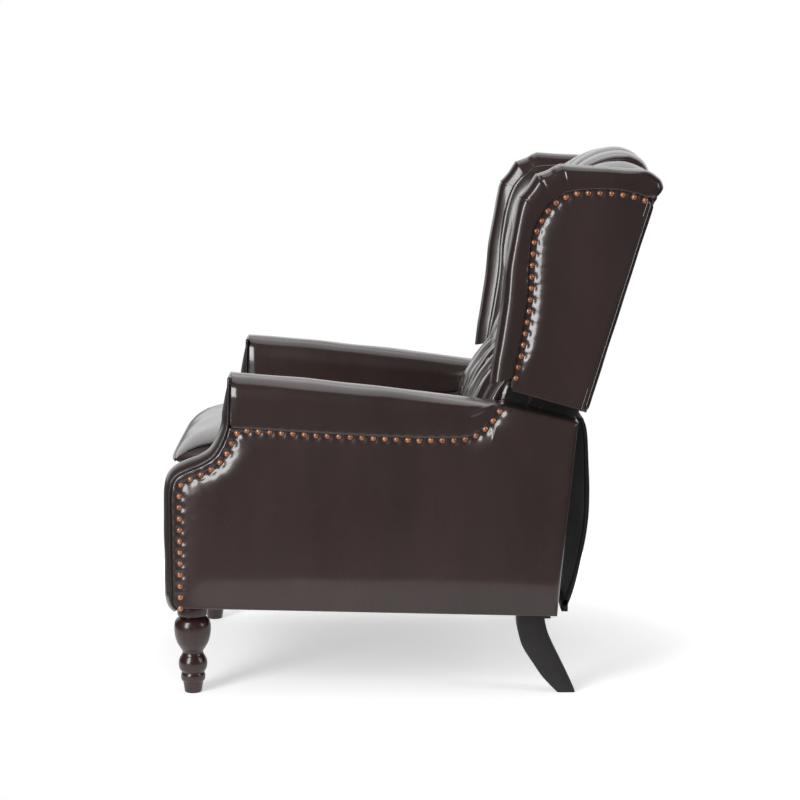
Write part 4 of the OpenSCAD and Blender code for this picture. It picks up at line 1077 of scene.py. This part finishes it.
def seat_cushion():
    (_, y0, z0), (_, y1, _) = corners("seat_cushion")
    half = CUSHION_X + 5
    outline = [
        (y0 + 6, LIP_Z + 1), (y0, LIP_Z + 5), (y0, LIP_Z + 12), (y0 + 6, LIP_Z + 21), (y0 + 17, LIP_Z + 31),
        (y0 + 34, LIP_Z + 41), (y0 + 56, LIP_Z + 49), (y0 + 85, SEAT_H + 3), (-300, SEAT_H + 9),
        (-200, SEAT_H + 12), (-100, SEAT_H + 13), (0, SEAT_H + 12), (60, SEAT_H + 9), (95, SEAT_H + 3),
        (y1 - 5, SEAT_H - 12), (y1, SEAT_H - 34), (y1 - 2, z0 + 14), (y1 - 10, z0 + 2),
    ]
    under = [(0, z0 + 1), (-200, z0 + 1), (LIP_Y + 20, z0 + 1), (LIP_Y + 8, z0 + 8), (LIP_Y, LIP_Z),
             (LIP_Y - 12, LIP_Z)]
    loop = smooth_line(outline, 150)
    ring_y, ring_z = np.vstack([loop, resample(under, 50)]).T
    s = (2 * eased(150, 0.75) - 1)[:, None]
    end = np.abs(s) ** 10
    up = unit((ring_z - LIP_Z) / (SEAT_H - LIP_Z))
    y = ring_y + 7.0 * end * unit((LIP_Y + 40 - ring_y) / 60) - 4 * end * (ring_y > 60)
    z = ring_z - (12.0 * np.abs(s) ** 2.8 + 7.0 * end) * up
    x = half * s * (1 - 0.012 * end * (1 - np.sin(math.pi * unit((ring_z - z0) / 85))))
    z += 0.8 * ripple(spread(x, y), 120.0, 91) * unit((z - LIP_Z) / 40)
    rings = spread(x, y, z)
    obj = tube_of("seat_cushion_leather", rings, LEATHER, "seat")
    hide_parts("seat_cushion")
    for word, side in (("left", -1), ("right", 1)):
        line = loop[12:128].copy()
        low_nose = 9.0 * np.exp(-((line[:, 0] - y0) / 30.0) ** 2) * (side > 0)
        line[:, 1] -= 18.0 * unit((line[:, 1] - LIP_Z) / (SEAT_H - LIP_Z)) - 0.5 + low_nose
        path = resample(at_x(line, side * half * 0.994), 220)
        welt(f"cushion_piping_{word}", path, PIPING_AND_SHADE, "seat", CUSHION_SEAM_R)
    nose = int(loop[:30, 0].argmin())
    welt("cushion_front_piping", rings[4:-4, nose] + [0, -1.0, 0.5], PIPING_AND_SHADE, "seat", NOSE_WELT_R)


def footrest():
    (_, y0, z0), (half, y1, z1) = corners("footrest_pad")
    x = half * (2 * eased(140, 0.6) - 1)
    z = (z0 + (z1 - z0) * eased(90, 0.6))[:, None]
    edge = np.minimum(half - np.abs(x), np.minimum(z - z0, z1 - z))
    puffed = 1 - (1 - unit(edge / 26.0)) ** 2.4
    broad = np.cos(x / half * math.pi / 2) ** 0.35 * np.sin(math.pi * (z - z0) / (z1 - z0)) ** 0.35
    swell = (y1 - y0 - 6) * puffed + 6.0 * broad + 0.7 * ripple(spread(x, z), 100.0, 95)
    obj = shell("footrest_leather", spread(x, y1 - swell, z), spread(x, y1, z), LEATHER, "footrest")
    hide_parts("footrest_pad")
    x1, low, high = half - 1.5, z0 + 1.5, z1 - 1.5
    path = [(a, y1 - 5, b) for a, b in ((-x1, low), (x1, low), (x1, high), (-x1, high), (-x1, low))]
    welt("footrest_piping", resample(path, 400)[:-1], PIPING_AND_SHADE, "footrest", NOSE_WELT_R, closed=True)


seat_cushion()
footrest()


# Frame pieces that keep their own shape
CAD_FINISH = {
    PLY: ["base_front_rail", "back_posts", "back_top_rail"],
    STEEL: ["base_plates", "front_swing_links", "rear_swing_links", "seat_plate_right", "seat_plate_left",
            "seat_springs", "back_brackets", "footrest_brackets", "footrest_inner_links",
            "footrest_control_links", "footrest_outer_links", "footrest_couplers"],
    CLOTH: ["seat_deck", "back_straps", "base_rear_rail", "corner_blocks", "seat_side_rails",
            "seat_front_rail", "seat_rear_rail", "back_bottom_rail", "footrest_board"],
}
for finish, names in CAD_FINISH.items():
    for name in names:
        nodes[name].data.materials.clear()
        nodes[name].data.materials.append(finish)


# Stage, light and camera
FLOOR_R = 1.06
ROOM_LEVEL, ROOM_GLOSS, ROOM_SIDE = 0.30, 0.05, 0.15


def combine(tree, operation, first, second):
    return add_node(tree, "ShaderNodeMath", 0, {0: first, 1: second}, operation=operation)


def mixed(tree, factor, low, high):
    """The low value where the factor is 0, and the high one where it is 1."""
    return add_node(tree, "ShaderNodeMix", "Result", {"Factor": factor, "A": low, "B": high})


def fade(tree, source, in_low, in_high, out_low, out_high):
    values = {"From Min": in_low, "From Max": in_high, "To Min": out_low, "To Max": out_high, "Value": source}
    return add_node(tree, "ShaderNodeMapRange", "Result", values, interpolation_type="SMOOTHSTEP")


def along(tree, source, axis):
    return add_node(tree, "ShaderNodeSeparateXYZ", axis, {0: source})


def seen_rays(tree):
    """1 for rays that show the background: from the camera, in gloss and through glass."""
    path = tree.nodes.new("ShaderNodeLightPath")
    total = path.outputs["Is Camera Ray"]
    for kind in ("Is Glossy Ray", "Is Transmission Ray"):
        total = combine(tree, "MAXIMUM", total, path.outputs[kind])
    return path.outputs["Is Camera Ray"], total


def stage():
    """A round pale floor that turns to plain white towards its edge and keeps the shadow."""
    mat, tree, shader = new_material("studio_floor")
    place = object_place(tree)
    far = add_node(tree, "ShaderNodeVectorMath", "Value", {0: place}, operation="LENGTH")
    glow = fade(tree, far, 0.45, 1.04, 0.50, 1.0)
    mirrored_glow = fade(tree, far, 0.5, 1.3, 0.35, 0.10)
    near_side = fade(tree, along(tree, place, "X"), 0.30, 0.80, 1.0, 0.0)
    camera_ray, seen = seen_rays(tree)
    level = mixed(tree, camera_ray, combine(tree, "MULTIPLY", mirrored_glow, near_side), glow)
    shade(shader, "Base Color", noise(tree, 3.0, 2.0), (0.86, 0.86, 0.865), (0.88, 0.88, 0.885))
    feed(shader, {"Roughness": 0.9, "Specular IOR Level": 0.1, "Emission Color": (1, 1, 1, 1),
                  "Emission Strength": combine(tree, "MULTIPLY", level, seen)})
    floor = bmesh.new()
    bmesh.ops.create_circle(floor, cap_ends=True, segments=128, radius=FLOOR_R)
    mesh = bpy.data.meshes.new("studio_floor")
    floor.to_mesh(mesh)
    floor.free()
    mesh.materials.append(mat)
    obj = add_object("studio_floor", mesh)


def aim(obj, place, way):
    obj.location = place
    obj.rotation_euler = Vector(way).to_track_quat("-Z", "Y").to_euler()


def area_light(name, place, target, size, size_y, power):
    data = bpy.data.lights.new(name, "AREA")
    data.energy = power
    data.shape = "RECTANGLE"
    data.size = size
    data.size_y = size_y
    aim(add_object(name, data), place, np.array(target, float) - place)


def world():
    """White behind the chair, and a dimmer room on the side where the photograph's camera stands."""
    studio = bpy.data.worlds.new("studio")
    bpy.context.scene.world = studio
    studio.use_nodes = True
    tree = studio.node_tree
    camera_ray, seen = seen_rays(tree)
    way = tree.nodes.new("ShaderNodeTexCoord").outputs["Generated"]
    behind = fade(tree, along(tree, way, "X"), -0.90, -0.40, 1.0, 0.0)
    above = fade(tree, along(tree, way, "Z"), -0.05, 0.03, 0.12, 1.0)
    side = fade(tree, along(tree, way, "X"), -0.20, 0.80, ROOM_GLOSS, ROOM_SIDE)
    both = combine(tree, "MAXIMUM", combine(tree, "MULTIPLY", behind, above), side)
    level = mixed(tree, seen, ROOM_LEVEL, combine(tree, "MAXIMUM", both, camera_ray))
    feed(tree.nodes["Background"], {"Color": (1, 1, 1, 1), "Strength": level})


CAMERA_PLACE = (4.484, -0.067, 1.1527)
CAMERA_YAW, CAMERA_PITCH = 0.0112, 0.1421
FOCAL_PIXELS, IMAGE_PIXELS, SENSOR_MM = 2288.0, 800.0, 36.0


def camera():
    data = bpy.data.cameras.new("camera")
    data.sensor_width = SENSOR_MM
    data.lens = FOCAL_PIXELS / IMAGE_PIXELS * SENSOR_MM
    obj = add_object("camera", data)
    aim(obj, CAMERA_PLACE, (-math.cos(CAMERA_PITCH) * math.cos(CAMERA_YAW),
                            math.cos(CAMERA_PITCH) * math.sin(CAMERA_YAW), -math.sin(CAMERA_PITCH)))
    bpy.context.scene.camera = obj


stage()
world()
area_light("key", (2.9, -2.15, 1.65), (0, 0, 0.6), 1.15, 2.9, 105)
area_light("top", (-0.75, 0.1, 3.2), (0, 0, 0.4), 1.9, 3.2, 25)
area_light("rear", (1.3, 3.0, 1.6), (0, 0.1, 0.5), 1.2, 2.0, 26)
camera()
bpy.context.scene.view_settings.view_transform = "Standard"
